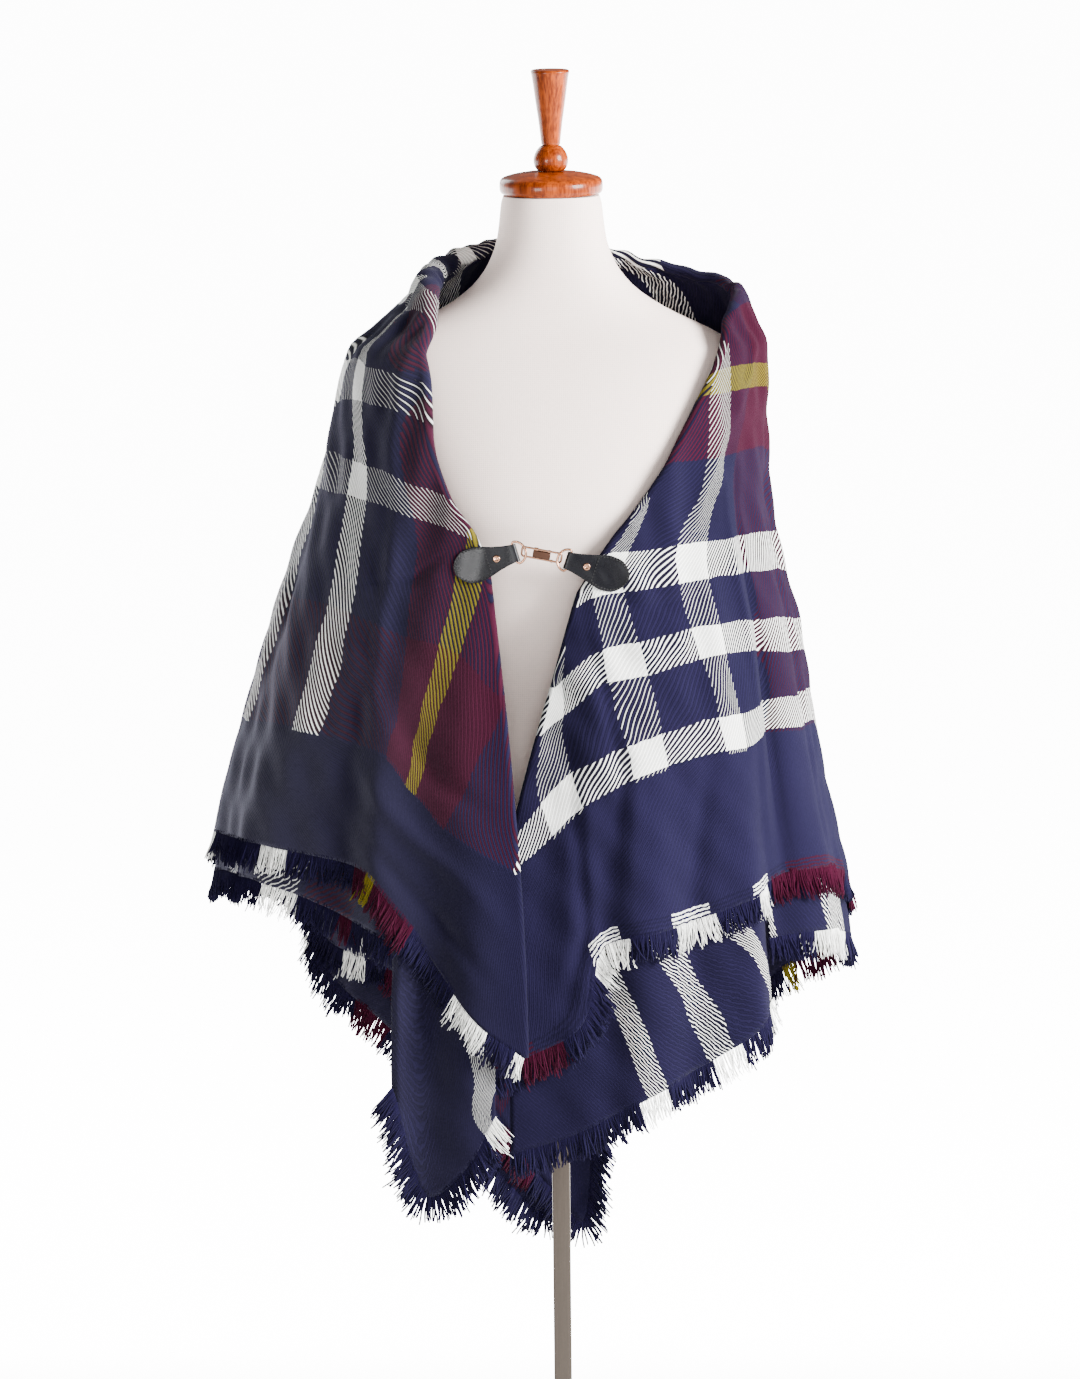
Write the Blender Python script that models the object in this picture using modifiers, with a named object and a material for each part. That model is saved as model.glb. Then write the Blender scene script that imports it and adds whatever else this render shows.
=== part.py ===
"""Cape poncho on a limbless dress form.

A fringed blanket square is folded corner to corner. Its fold stands up behind the neck as a rolled
collar and runs down both front edges, and its two layers hang as a cape, closed by a leather clasp.

Frame: metres, +Z up. The form faces -Y, +X is at the viewer's right hand, and the origin is the centre
of the stand's underside. A turn is an angle round the form in degrees: 0 in front, 90 at the viewer's
left, 180 behind, 270 at the viewer's right.
"""

import math
from collections import namedtuple

import bmesh
import bpy
import numpy as np
from mathutils import Matrix, Vector

# Driving sizes -------------------------------------------------------------------------------------

CLOTH = 0.002                 # thickness of one layer of the woven cloth
SEAM = 0.0003                 # gap that neighbouring pieces keep
LAYER_STEP = 0.008            # how far the under layer lies inside the outer one
HANG_HEIGHT = 0.600           # height by which every rib hangs straight
SWING_POWER = 2.5             # how early a rib swings from its neckline turn to its hem turn
CLOSING_PART = 0.11           # part of a rib by which the two layers have closed up
FOLD_FULL_HEIGHT = 0.750      # height by which every fold has its full depth
OVERLAP_STEP = 0.015          # how far the right front passes under the left one
OVERLAP_START = 350.0         # turn where the right front starts to pass under
OVERLAP_END = 363.0           # turn where it lies fully under

FRINGE_REACH = 0.034          # length of the fringe
FRINGE_GAP = 0.0006           # gap between a hem and its fringe
FOLD_GAP = 0.0008             # gap between the rolled fold and the layers that leave it
SEAM_PART = 0.0012            # share of a rib's length that a seam takes
SEAM_RIBS = 0.018             # share of the space between two ribs that a seam takes
COLLAR_START = 5              # ribs between which the fold stands up as a collar
COLLAR_END = 19
SIDE_LEFT = 8                 # ribs at the two sides, where the outer layer's pieces meet
SIDE_RIGHT = 17
FRONT_ROLL_STEPS = 5          # faces round the rolled fold at the fronts and at the neck
NECK_ROLL_STEPS = 6

BASE_RADIUS = 0.155
BASE_THICK = 0.010
BASE_EDGE = 0.004             # bevel round the base's upper edge
POLE_SIDE = 0.019
POLE_ROUNDING = 0.0015
FORM_BOTTOM = 0.800           # underside of the linen body
FORM_TOP = 1.540              # top of its neck
BODY_SIDES = 32
BODY_SQUARENESS = 2.3         # 2 is an ellipse
BODY_SHARP = math.radians(50)

CAP_RADIUS = 0.0535
CAP_THICK = 0.017
CAP_DOME = 0.006              # rise of the neck cap's middle
CAP_TILT = math.radians(2.0)  # the neck cap leans a little forward
BEAD_RADIUS = 0.0180
BEAD_NECK = 0.003             # radius round which the bead's side swings
BEAD_HEIGHT = 0.026
BEAD_BELLY = 0.42             # height of the bead's widest place, as a share of its height
HANDLE_FOOT = 0.0100
HANDLE_TOP = 0.0200
HANDLE_HEIGHT = 0.078

LEATHER = 0.0018
TAB_LENGTH = 0.064
TAB_TIP_WIDTH = 0.006         # flat at the middle of the tab's round end
TAB_END_WIDTH = 0.018
TAB_UNDER = 0.013             # length of the ply that is turned back round the ring
RIVET_PLACE = 0.019           # from the ring's bar to the rivet
RIVET_RADIUS = 0.0038
RIVET_HEIGHT = 0.0013
RIVET_GAP = 0.0005
RING_WIRE = 0.0013
RING_HEIGHT = 0.0225
RING_REACH = 0.0115
RING_CORNER = 0.0015
BOW_STEPS = 8                 # straight stretches of the ring's bow
LOOP_INSIDE = RING_WIRE + SEAM + 0.0001
HOOK_WIRE = 0.0011
HOOK_HEIGHT = 0.0115
HOOK_CORNER = 0.003
HOOK_TILT = math.radians(28.0)
GATE_LENGTH = 0.018
GATE_THICK = 0.003
GATE_ROUNDING = 0.0008

# Tables: one row for each ring, rib or fold --------------------------------------------------------

Ring = namedtuple("Ring", "height left right front back")

# Half widths and depths of the ring that the cape's outer face makes at each height.
CAPE_RINGS = (
    Ring(0.400, 0.392, 0.325, 0.200, 0.222),
    Ring(0.560, 0.390, 0.325, 0.197, 0.214),
    Ring(0.700, 0.385, 0.320, 0.192, 0.204),
    Ring(0.820, 0.372, 0.305, 0.187, 0.192),
    Ring(0.900, 0.357, 0.287, 0.182, 0.182),
    Ring(1.000, 0.328, 0.270, 0.174, 0.168),
    Ring(1.090, 0.301, 0.255, 0.166, 0.156),
    Ring(1.170, 0.273, 0.234, 0.158, 0.146),
    Ring(1.240, 0.248, 0.223, 0.151, 0.138),
    Ring(1.310, 0.231, 0.222, 0.139, 0.128),
    Ring(1.360, 0.220, 0.224, 0.122, 0.118),
    Ring(1.385, 0.211, 0.222, 0.108, 0.112),
    Ring(1.405, 0.186, 0.213, 0.094, 0.106),
    Ring(1.430, 0.160, 0.204, 0.082, 0.101),
    Ring(1.450, 0.145, 0.190, 0.075, 0.097),
    Ring(1.465, 0.135, 0.158, 0.071, 0.094),
    Ring(1.480, 0.119, 0.120, 0.067, 0.090),
    Ring(1.500, 0.080, 0.095, 0.062, 0.084),
)

Neck = namedtuple("Neck", "rib turn height roll")

# Where each rib of the cape leaves the fold, and the radius of the fold's roll there.
NECKLINE = (
    Neck(0, 15.0, 1.165, 0.0050),
    Neck(1, 18.5, 1.200, 0.0050),
    Neck(2, 27.0, 1.244, 0.0050),
    Neck(3, 33.0, 1.290, 0.0055),
    Neck(4, 37.5, 1.360, 0.0065),
    Neck(5, 48.0, 1.412, 0.0085),
    Neck(6, 62.0, 1.440, 0.0110),
    Neck(7, 80.0, 1.458, 0.0130),
    Neck(8, 100.0, 1.468, 0.0130),
    Neck(9, 120.0, 1.479, 0.0110),
    Neck(10, 140.0, 1.486, 0.0085),
    Neck(11, 160.0, 1.488, 0.0070),
    Neck(12, 180.0, 1.486, 0.0060),
    Neck(13, 200.0, 1.481, 0.0060),
    Neck(14, 218.0, 1.470, 0.0060),
    Neck(15, 235.0, 1.459, 0.0060),
    Neck(16, 252.0, 1.452, 0.0060),
    Neck(17, 270.0, 1.443, 0.0065),
    Neck(18, 286.0, 1.432, 0.0070),
    Neck(19, 300.0, 1.408, 0.0065),
    Neck(20, 308.0, 1.378, 0.0060),
    Neck(21, 321.0, 1.308, 0.0055),
    Neck(22, 333.0, 1.247, 0.0050),
    Neck(23, 347.0, 1.186, 0.0050),
    Neck(24, 354.0, 1.144, 0.0050),
)

Hem = namedtuple("Hem", "rib turn height")

# Where each rib of the outer layer reaches the hem.
OUTER_HEM = (
    Hem(0, 5.5, 0.672),
    Hem(1, 12.0, 0.705),
    Hem(2, 19.0, 0.760),
    Hem(3, 26.0, 0.820),
    Hem(4, 34.0, 0.862),
    Hem(5, 47.0, 0.874),
    Hem(6, 62.0, 0.880),
    Hem(7, 80.0, 0.878),
    Hem(8, 98.0, 0.868),
    Hem(9, 122.0, 0.822),
    Hem(9.5, 132.0, 0.782),
    Hem(10, 139.0, 0.692),
    Hem(11, 154.0, 0.598),
    Hem(12, 178.0, 0.390),
    Hem(13, 188.5, 0.560),
    Hem(14, 210.0, 0.650),
    Hem(15, 231.0, 0.725),
    Hem(16, 252.0, 0.790),
    Hem(17, 270.0, 0.824),
    Hem(18, 287.0, 0.842),
    Hem(19, 305.0, 0.846),
    Hem(20, 320.0, 0.826),
    Hem(21, 335.0, 0.805),
    Hem(22, 352.0, 0.785),
    Hem(23, 355.5, 0.708),
    Hem(24, 371.0, 0.652),
)

# Where each rib of the under layer reaches its own hem, a table for each stretch.
INNER_HEMS = {
    "inner_front_left": (
        Hem(0, 10.0, 0.610),
        Hem(1, 14.5, 0.555),
        Hem(2, 21.0, 0.520),
        Hem(3, 27.0, 0.635),
    ),
    "inner_side_left": (
        Hem(3, 27.0, 0.790),
        Hem(4, 35.0, 0.804),
        Hem(5, 47.0, 0.828),
        Hem(6, 62.0, 0.842),
        Hem(7, 80.0, 0.840),
        Hem(8, 98.0, 0.825),
    ),
    "inner_back": (
        Hem(8, 98.0, 0.825),
        Hem(9, 122.0, 0.812),
        Hem(9.5, 132.0, 0.784),
        Hem(10, 139.0, 0.722),
        Hem(11, 154.0, 0.672),
        Hem(12, 178.0, 0.425),
        Hem(12.5, 184.3, 0.382),
        Hem(13, 188.5, 0.535),
        Hem(14, 210.0, 0.612),
        Hem(15, 231.0, 0.690),
        Hem(16, 252.0, 0.735),
        Hem(17, 270.0, 0.760),
    ),
    "inner_side_right": (
        Hem(17, 270.0, 0.760),
        Hem(18, 287.0, 0.775),
        Hem(19, 303.0, 0.780),
        Hem(20, 312.0, 0.778),
    ),
    "inner_front_right": (
        Hem(20, 312.0, 0.712),
        Hem(21, 328.0, 0.664),
        Hem(22, 345.0, 0.622),
        Hem(23, 357.0, 0.588),
        Hem(24, 368.0, 0.565),
    ),
}

Fold = namedtuple("Fold", "neck_turn hem_turn top depth before after")

# Largest folds: ridges are positive, troughs negative. "top" is the height where a fold has died out,
# and "before" and "after" are its half widths in degrees on the two sides of its line.
FOLDS = (
    Fold(22.0, 12.0, 1.200, 0.008, 5.0, 5.0),
    Fold(31.0, 21.0, 1.180, -0.007, 5.0, 6.0),
    Fold(34.0, 29.0, 1.120, 0.012, 5.0, 3.0),
    Fold(40.0, 37.5, 1.150, -0.014, 4.5, 9.0),
    Fold(58.0, 60.0, 1.200, 0.010, 8.0, 8.0),
    Fold(78.0, 76.0, 1.180, -0.010, 8.0, 8.0),
    Fold(104.0, 108.0, 1.250, 0.014, 9.0, 8.0),
    Fold(122.0, 128.0, 1.250, -0.016, 8.0, 9.0),
    Fold(142.0, 146.0, 1.300, 0.018, 9.0, 9.0),
    Fold(162.0, 164.0, 1.280, -0.015, 8.0, 8.0),
    Fold(180.0, 180.0, 1.320, 0.013, 10.0, 10.0),
    Fold(198.0, 197.0, 1.280, -0.017, 8.0, 8.0),
    Fold(216.0, 214.0, 1.300, 0.016, 8.0, 9.0),
    Fold(234.0, 234.0, 1.240, -0.014, 9.0, 9.0),
    Fold(254.0, 255.0, 1.250, 0.012, 9.0, 8.0),
    Fold(276.0, 277.0, 1.200, -0.008, 7.0, 7.0),
    Fold(294.0, 296.0, 1.260, 0.007, 6.0, 5.0),
    Fold(305.0, 312.0, 1.230, -0.014, 8.0, 3.5),
    Fold(314.0, 320.0, 1.200, 0.008, 4.0, 6.0),
    Fold(330.0, 333.0, 1.120, -0.007, 5.0, 5.0),
    Fold(340.0, 343.0, 1.080, 0.009, 5.0, 4.0),
    Fold(350.0, 350.5, 1.050, -0.008, 3.5, 3.5),
)

# The linen body: half width, front and back depth of the ring at each height.
Body = namedtuple("Body", "height half front back")
BODY_RINGS = (
    Body(FORM_BOTTOM, 0.160, 0.114, 0.118),
    Body(0.830, 0.165, 0.120, 0.124),
    Body(0.890, 0.162, 0.120, 0.120),
    Body(0.960, 0.140, 0.107, 0.100),
    Body(1.030, 0.121, 0.098, 0.085),
    Body(1.100, 0.130, 0.112, 0.091),
    Body(1.170, 0.150, 0.130, 0.101),
    Body(1.220, 0.166, 0.134, 0.108),
    Body(1.270, 0.182, 0.126, 0.111),
    Body(1.320, 0.193, 0.110, 0.106),
    Body(1.355, 0.197, 0.094, 0.096),
    Body(1.378, 0.192, 0.080, 0.084),
    Body(1.392, 0.178, 0.070, 0.074),
    Body(1.404, 0.156, 0.062, 0.067),
    Body(1.416, 0.130, 0.056, 0.062),
    Body(1.430, 0.105, 0.053, 0.060),
    Body(1.448, 0.082, 0.052, 0.058),
    Body(1.470, 0.066, 0.053, 0.057),
    Body(1.495, 0.057, 0.053, 0.055),
    Body(FORM_TOP, 0.0515, 0.0515, 0.0515),
)

Tab = namedtuple("Tab", "side bar_x bar_height lean")

# Where each ring's bar lies, and how its tab leans away from level, in degrees.
TABS = (
    Tab("left", -0.0415, 1.1890, -17.0),
    Tab("right", 0.0135, 1.1810, -19.0),
)

Width = namedtuple("Width", "part width")

# Width of a tab along its length, from the round end to the ring.
TAB_WIDTHS = (
    Width(0.00, TAB_TIP_WIDTH),
    Width(0.03, 0.014),
    Width(0.10, 0.025),
    Width(0.22, 0.034),
    Width(0.38, 0.036),
    Width(0.52, 0.032),
    Width(0.68, 0.026),
    Width(0.85, 0.021),
    Width(1.00, TAB_END_WIDTH),
)

Profile = namedtuple("Profile", "radius height")

# Turned profiles, from the top of each piece down its outer side.
CAP_PROFILE = (
    Profile(0.0, CAP_THICK + CAP_DOME),
    Profile(0.020, CAP_THICK + CAP_DOME - 0.0008),
    Profile(0.038, CAP_THICK + 0.003),
    Profile(0.049, CAP_THICK),
    Profile(CAP_RADIUS - 0.0008, CAP_THICK - 0.004),
    Profile(CAP_RADIUS, CAP_THICK * 0.5),
    Profile(CAP_RADIUS - 0.0010, 0.003),
    Profile(CAP_RADIUS - 0.004, 0.0),
    Profile(0.0, 0.0),
)
HANDLE_PROFILE = (
    Profile(0.0, HANDLE_HEIGHT),
    Profile(HANDLE_TOP * 0.7, HANDLE_HEIGHT - 0.0006),
    Profile(HANDLE_TOP - 0.001, HANDLE_HEIGHT - 0.002),
    Profile(HANDLE_TOP, HANDLE_HEIGHT - 0.004),
    Profile(HANDLE_FOOT + 0.004, HANDLE_HEIGHT * 0.42),
    Profile(HANDLE_FOOT, 0.004),
    Profile(HANDLE_FOOT - 0.0015, 0.0),
    Profile(0.0, 0.0),
)
BASE_PROFILE = (
    Profile(0.0, BASE_THICK),
    Profile(BASE_RADIUS - BASE_EDGE, BASE_THICK),
    Profile(BASE_RADIUS, BASE_THICK - BASE_EDGE),
    Profile(BASE_RADIUS, 0.0),
    Profile(0.0, 0.0),
)
RIVET_PROFILE = (
    Profile(0.0, RIVET_HEIGHT),
    Profile(RIVET_RADIUS * 0.55, RIVET_HEIGHT - 0.0001),
    Profile(RIVET_RADIUS * 0.9, RIVET_HEIGHT - 0.0005),
    Profile(RIVET_RADIUS, 0.0003),
    Profile(RIVET_RADIUS, 0.0),
    Profile(0.0, 0.0),
)

# Parts of the way down a rib where a layer has its rows of points.
LAYER_ROWS = np.concatenate(([0.0, 0.035, 0.07, 0.11, 0.16, 0.22, 0.30], np.linspace(0.4, 1.0, 7)))

# Smooth reading of the tables ----------------------------------------------------------------------


def glide(at, value, key):
    """The monotone cubic curve through (at, value), read at key."""
    key = np.asarray(key, dtype=float)
    step = np.diff(at)
    slope = np.diff(value) / step
    tangent = np.concatenate((slope[:1], np.zeros(len(slope) - 1), slope[-1:]))
    same = slope[:-1] * slope[1:] > 0
    total = np.where(same, slope[:-1] + slope[1:], 1.0)
    tangent[1:-1] = np.where(same, 2 * slope[:-1] * slope[1:] / total, 0.0)
    place = np.clip(np.searchsorted(at, key, side="right") - 1, 0, len(step) - 1)
    part = np.clip((key - at[place]) / step[place], 0, 1)
    rest = 1 - part
    return (
        (1 + 2 * part) * rest**2 * value[place]
        + part * rest**2 * step[place] * tangent[place]
        + part**2 * (3 - 2 * part) * value[place + 1]
        - part**2 * rest * step[place] * tangent[place + 1]
    )


def read(table, name, key):
    """One named column of a table, read smoothly at any value of its first column."""
    at = np.array([row[0] for row in table])
    value = np.array([getattr(row, name) for row in table])
    return glide(at, value, key)


def ramp(low, high, value):
    """0 below low, 1 above high, and a soft S between them."""
    part = np.clip((value - low) / (high - low), 0, 1)
    return part * part * (3 - 2 * part)


# The draped surface --------------------------------------------------------------------------------


def ring_point(turn, height):
    """A point of the cape's smooth outer face, before its folds."""
    angle = np.radians(turn)
    side = np.where(
        np.sin(angle) > 0,
        read(CAPE_RINGS, "left", height),
        read(CAPE_RINGS, "right", height),
    )
    depth = np.where(
        np.cos(angle) > 0,
        read(CAPE_RINGS, "front", height),
        read(CAPE_RINGS, "back", height),
    )
    return np.stack((-side * np.sin(angle), -depth * np.cos(angle), height + 0 * angle), axis=-1)


def ring_normal(turn, height):
    """The direction out of that smooth face."""
    around = ring_point(turn + 0.5, height) - ring_point(turn - 0.5, height)
    upward = ring_point(turn, height + 0.004) - ring_point(turn, height - 0.004)
    normal = np.cross(upward, around)
    return normal / np.linalg.norm(normal, axis=-1, keepdims=True)


def fold_depth(turn, height):
    """How far the folds stand out of the smooth face."""
    depth = np.zeros(np.broadcast(turn, height).shape)
    for fold in FOLDS:
        drop = ramp(0.0, 1.0, (fold.top - height) / (fold.top - FOLD_FULL_HEIGHT))
        line = fold.neck_turn + (fold.hem_turn - fold.neck_turn) * drop
        away = turn - line
        width = np.where(away < 0, fold.before, fold.after)
        depth = depth + fold.depth * drop * np.exp(-((away / width) ** 2))
    return depth


def drape(turn, height, inset=0.0):
    """A point of the cloth's outer face, inset by a distance towards the body."""
    out = fold_depth(turn, height) - inset
    out = out - OVERLAP_STEP * ramp(OVERLAP_START, OVERLAP_END, turn)
    return ring_point(turn, height) + ring_normal(turn, height) * np.expand_dims(out, -1)


def rib_place(hem, rib, part):
    """The turn and height of a point part of the way down a rib, which swings away and then hangs."""
    top = read(NECKLINE, "height", rib)
    height = top + (read(hem, "height", rib) - top) * part
    fallen = np.clip((top - height) / (top - HANG_HEIGHT), 0, 1)
    start = read(NECKLINE, "turn", rib)
    turn = start + (read(hem, "turn", rib) - start) * (1 - (1 - fallen) ** SWING_POWER)
    return turn, height


def inner_inset(rib, part):
    """The under layer leaves the roll at its far side and closes up to the outer layer."""
    at_roll = 2 * read(NECKLINE, "roll", rib) - CLOTH
    return at_roll + (LAYER_STEP - at_roll) * ramp(0.0, CLOSING_PART, part)


# Making meshes -------------------------------------------------------------------------------------


def material(name, color, roughness, metallic=0.0):
    """A Principled material."""
    made = bpy.data.materials.new(name)
    made.use_nodes = True
    shader = made.node_tree.nodes["Principled BSDF"]
    shader.inputs["Base Color"].default_value = (*color, 1.0)
    shader.inputs["Roughness"].default_value = roughness
    shader.inputs["Metallic"].default_value = metallic
    made.diffuse_color = (*color, 1.0)
    return made


def add_object(name, mesh, finish, collection):
    """Put a mesh in the scene under its piece's name."""
    mesh.materials.append(finish)
    made = bpy.data.objects.new(name, mesh)
    collection.objects.link(made)
    return made


def grid_mesh(name, points, around=False):
    """A mesh of quads over a grid of points, closed round its second direction where asked."""
    rows, columns = points.shape[:2]
    made = bmesh.new()
    corners = [[made.verts.new(point) for point in row] for row in points.tolist()]
    for row in range(rows - 1):
        for column in range(columns if around else columns - 1):
            following = (column + 1) % columns
            made.faces.new(
                (
                    corners[row][column],
                    corners[row][following],
                    corners[row + 1][following],
                    corners[row + 1][column],
                )
            )
    if around:
        made.faces.new(list(reversed(corners[0])))
        made.faces.new(corners[-1])
    mesh = bpy.data.meshes.new(name)
    made.to_mesh(mesh)
    made.free()
    return mesh


def add_wall(name, points, thickness, finish, collection, offset=-1.0):
    """A sheet over a grid of points, given its thickness by Solidify."""
    made = add_object(name, grid_mesh(name, points), finish, collection)
    made.data.shade_smooth()
    solid = made.modifiers.new("Thickness", "SOLIDIFY")
    solid.thickness = thickness
    solid.offset = offset
    solid.use_even_offset = True
    solid.use_quality_normals = True
    return made


def add_turned(name, profile, finish, collection, steps=32):
    """A piece turned on the lathe: its profile runs down its outer side."""
    mesh = bpy.data.meshes.new(name)
    edges = [(index, index + 1) for index in range(len(profile) - 1)]
    mesh.from_pydata([(radius, 0.0, height) for radius, height in profile], edges, [])
    made = add_object(name, mesh, finish, collection)
    turning = made.modifiers.new("Turning", "SCREW")
    turning.steps = steps
    turning.render_steps = steps
    turning.use_merge_vertices = True
    turning.merge_threshold = 0.00005
    turning.use_smooth_shade = True
    return made


def add_bar(name, size, rounding, finish, collection):
    """A box with rounded edges, centred on its origin."""
    mesh = bpy.data.meshes.new(name)
    made = bmesh.new()
    bmesh.ops.create_cube(made, size=1.0, matrix=Matrix.Diagonal((*size, 1.0)))
    made.to_mesh(mesh)
    made.free()
    bar = add_object(name, mesh, finish, collection)
    edges = bar.modifiers.new("Rounding", "BEVEL")
    edges.width = rounding
    edges.segments = 2
    return bar


def add_wire(name, points, radius, finish, collection):
    """A bent wire through a closed list of points."""
    curve = bpy.data.curves.new(name, "CURVE")
    curve.dimensions = "3D"
    curve.bevel_depth = radius
    curve.bevel_resolution = 2
    spline = curve.splines.new("POLY")
    spline.points.add(len(points) - 1)
    for target, point in zip(spline.points, points):
        target.co = (*point, 1.0)
    spline.use_cyclic_u = True
    curve.materials.append(finish)
    made = bpy.data.objects.new(name, curve)
    collection.objects.link(made)
    return made


# Cloth ---------------------------------------------------------------------------------------------


def stations(first, last):
    """Every half rib between two ribs, a seam inside them."""
    ribs = np.linspace(first, last, 2 * (last - first) + 1)
    ribs[0] += SEAM_RIBS
    ribs[-1] -= SEAM_RIBS
    return ribs


def layer_places(hem, first, last):
    """Turns and heights of one stretch of cloth, a seam inside its edges, and its ribs and parts."""
    rows = SEAM_PART + LAYER_ROWS * (1 - SEAM_PART)
    part, rib = np.meshgrid(rows, stations(first, last), indexing="ij")
    turn, height = rib_place(hem, rib, part)
    return turn, height, rib, part


def no_inset(rib, part):
    """The outer layer lies on the draped face."""
    return 0.0 * rib


def fringe_places(turn, height, rows):
    """The fringe's reach under a hem: half across the hem and half straight down."""
    per_degree = np.linalg.norm(ring_point(turn + 0.5, height) - ring_point(turn - 0.5, height), axis=-1)
    run = np.diff(turn) * (per_degree[:-1] + per_degree[1:]) / 2
    rise = np.diff(height)
    normal = np.stack((rise, -run)) / np.hypot(run, rise)
    before = np.concatenate((normal[:, :1], normal), axis=1)
    after = np.concatenate((normal, normal[:, -1:]), axis=1)
    corner = (before + after) * 2 / np.sum((before + after) ** 2, axis=0)
    heading = corner / np.linalg.norm(corner, axis=0) + np.array([[0.0], [-1.0]])
    heading = heading / np.linalg.norm(heading, axis=0)
    for end in (0, -1):
        corner[:, end] = (0.0, 1 / corner[1, end])
        heading[:, end] = (0.0, -1.0)
    reach = np.linspace(0.0, FRINGE_REACH, rows)[:, None]
    sideways = corner[0] * FRINGE_GAP + heading[0] * reach
    downward = corner[1] * FRINGE_GAP + heading[1] * reach
    return turn + sideways / per_degree, height + downward


def add_layer(name, hem, first, last, inset, finish, collection):
    """One stretch of a layer and the fringe under its hem."""
    turn, height, rib, part = layer_places(hem, first, last)
    depth = inset(rib, part)
    add_wall(name, drape(turn, height, depth), CLOTH, finish, collection)
    turn, height = fringe_places(turn[-1], height[-1], 3)
    add_wall("fringe_" + name, drape(turn, height, depth[-1]), CLOTH, finish, collection)


def edge_places(rib):
    """Places down a front edge from its tip, each a rib and a part of the way down it."""
    return [(rib, part) for part in LAYER_ROWS[:0:-1]]


def neck_places(first, last):
    """Places along the neckline between two ribs."""
    return [(rib, 0.0) for rib in stations(first, last)]


def add_fold(name, places, steps, finish, collection):
    """The rolled edge that joins the two layers: a half tube along the fold."""
    rib = np.array([place[0] for place in places])
    part = np.array([place[1] for place in places])
    turn, height = rib_place(OUTER_HEM, rib, part)
    edge = drape(turn, height)
    normal = ring_normal(turn, height)
    along = np.gradient(edge, axis=0)
    inward = np.cross(normal, along)
    inward = inward / np.linalg.norm(inward, axis=-1, keepdims=True)
    roll = read(NECKLINE, "roll", rib)[:, None]
    rows = []
    for angle in np.linspace(0, math.pi, steps + 1):
        swing = FOLD_GAP + roll * math.sin(angle)
        rows.append(edge - normal * roll * (1 - math.cos(angle)) - inward * swing)
    add_wall(name, np.array(rows)[::-1], CLOTH, finish, collection)


def build_cloth(collection):
    """The folded square: its rolled fold, its two layers and its fringe."""
    wool = material("woven_navy", (0.028, 0.030, 0.100), 0.9)
    last = NECKLINE[-1].rib
    left = edge_places(0) + neck_places(0, COLLAR_START)
    right = neck_places(COLLAR_END, last) + edge_places(last)[::-1]
    add_fold("fold_left", left, FRONT_ROLL_STEPS, wool, collection)
    add_fold("fold_neck", neck_places(COLLAR_START, COLLAR_END), NECK_ROLL_STEPS, wool, collection)
    add_fold("fold_right", right, FRONT_ROLL_STEPS, wool, collection)
    add_layer("outer_front_left", OUTER_HEM, 0, SIDE_LEFT, no_inset, wool, collection)
    add_layer("outer_back", OUTER_HEM, SIDE_LEFT, SIDE_RIGHT, no_inset, wool, collection)
    add_layer("outer_front_right", OUTER_HEM, SIDE_RIGHT, last, no_inset, wool, collection)
    for name, hem in INNER_HEMS.items():
        add_layer(name, hem, hem[0].rib, hem[-1].rib, inner_inset, wool, collection)


# Dress form ----------------------------------------------------------------------------------------


def body_ring(row):
    """One ring of the linen body, a little squarer than an ellipse."""
    ring = []
    for index in range(BODY_SIDES):
        angle = 2 * math.pi * index / BODY_SIDES
        across = math.copysign(abs(math.sin(angle)) ** (2 / BODY_SQUARENESS), math.sin(angle))
        deep = math.copysign(abs(math.cos(angle)) ** (2 / BODY_SQUARENESS), math.cos(angle))
        ring.append((row.half * across, -deep * (row.front if deep > 0 else row.back), row.height))
    return ring


def bead_profile():
    """The bead: flat at its top and foot, round between."""
    profile = [(0.0, BEAD_HEIGHT)]
    for angle in np.radians(np.linspace(55, -40, 9)):
        radius = BEAD_NECK + (BEAD_RADIUS - BEAD_NECK) * math.cos(angle)
        height = BEAD_HEIGHT * (BEAD_BELLY + (1 - BEAD_BELLY) * math.sin(angle) / math.sin(math.radians(55)))
        profile.append((radius, max(height, 0.0)))
    return profile + [(0.0, 0.0)]


def build_form(collection):
    """Linen body, turned wooden neck cap and finial, pole and base."""
    linen = material("linen", (0.77, 0.70, 0.64), 0.85)
    wood = material("varnished_wood", (0.53, 0.12, 0.014), 0.25)
    steel = material("steel", (0.20, 0.17, 0.16), 0.35, 1.0)
    rings = np.array([body_ring(row) for row in BODY_RINGS])
    torso = add_object("form_torso", grid_mesh("form_torso", rings, around=True), linen, collection)
    torso.data.shade_smooth()
    torso.data.set_sharp_from_angle(angle=math.radians(50))

    foot = FORM_TOP + SEAM + CAP_RADIUS * math.sin(CAP_TILT)
    tilt = Matrix.Translation((0, 0, foot)) @ Matrix.Rotation(CAP_TILT, 4, "X")
    bead_foot = CAP_THICK + CAP_DOME + SEAM
    handle_foot = bead_foot + BEAD_HEIGHT + SEAM
    for name, profile, lift in (
        ("neck_cap", CAP_PROFILE, 0.0),
        ("finial_bead", bead_profile(), bead_foot),
        ("finial_handle", HANDLE_PROFILE, handle_foot),
    ):
        piece = add_turned(name, profile, wood, collection)
        piece.matrix_world = tilt @ Matrix.Translation((0, 0, lift))

    pole_foot = BASE_THICK + SEAM
    pole_length = FORM_BOTTOM - SEAM - pole_foot
    pole = add_bar("stand_pole", (POLE_SIDE, POLE_SIDE, pole_length), POLE_ROUNDING, steel, collection)
    pole.location = (0, 0, pole_foot + pole_length / 2)
    add_turned("stand_base", BASE_PROFILE, steel, collection, steps=48)


# Clasp ---------------------------------------------------------------------------------------------


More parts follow.
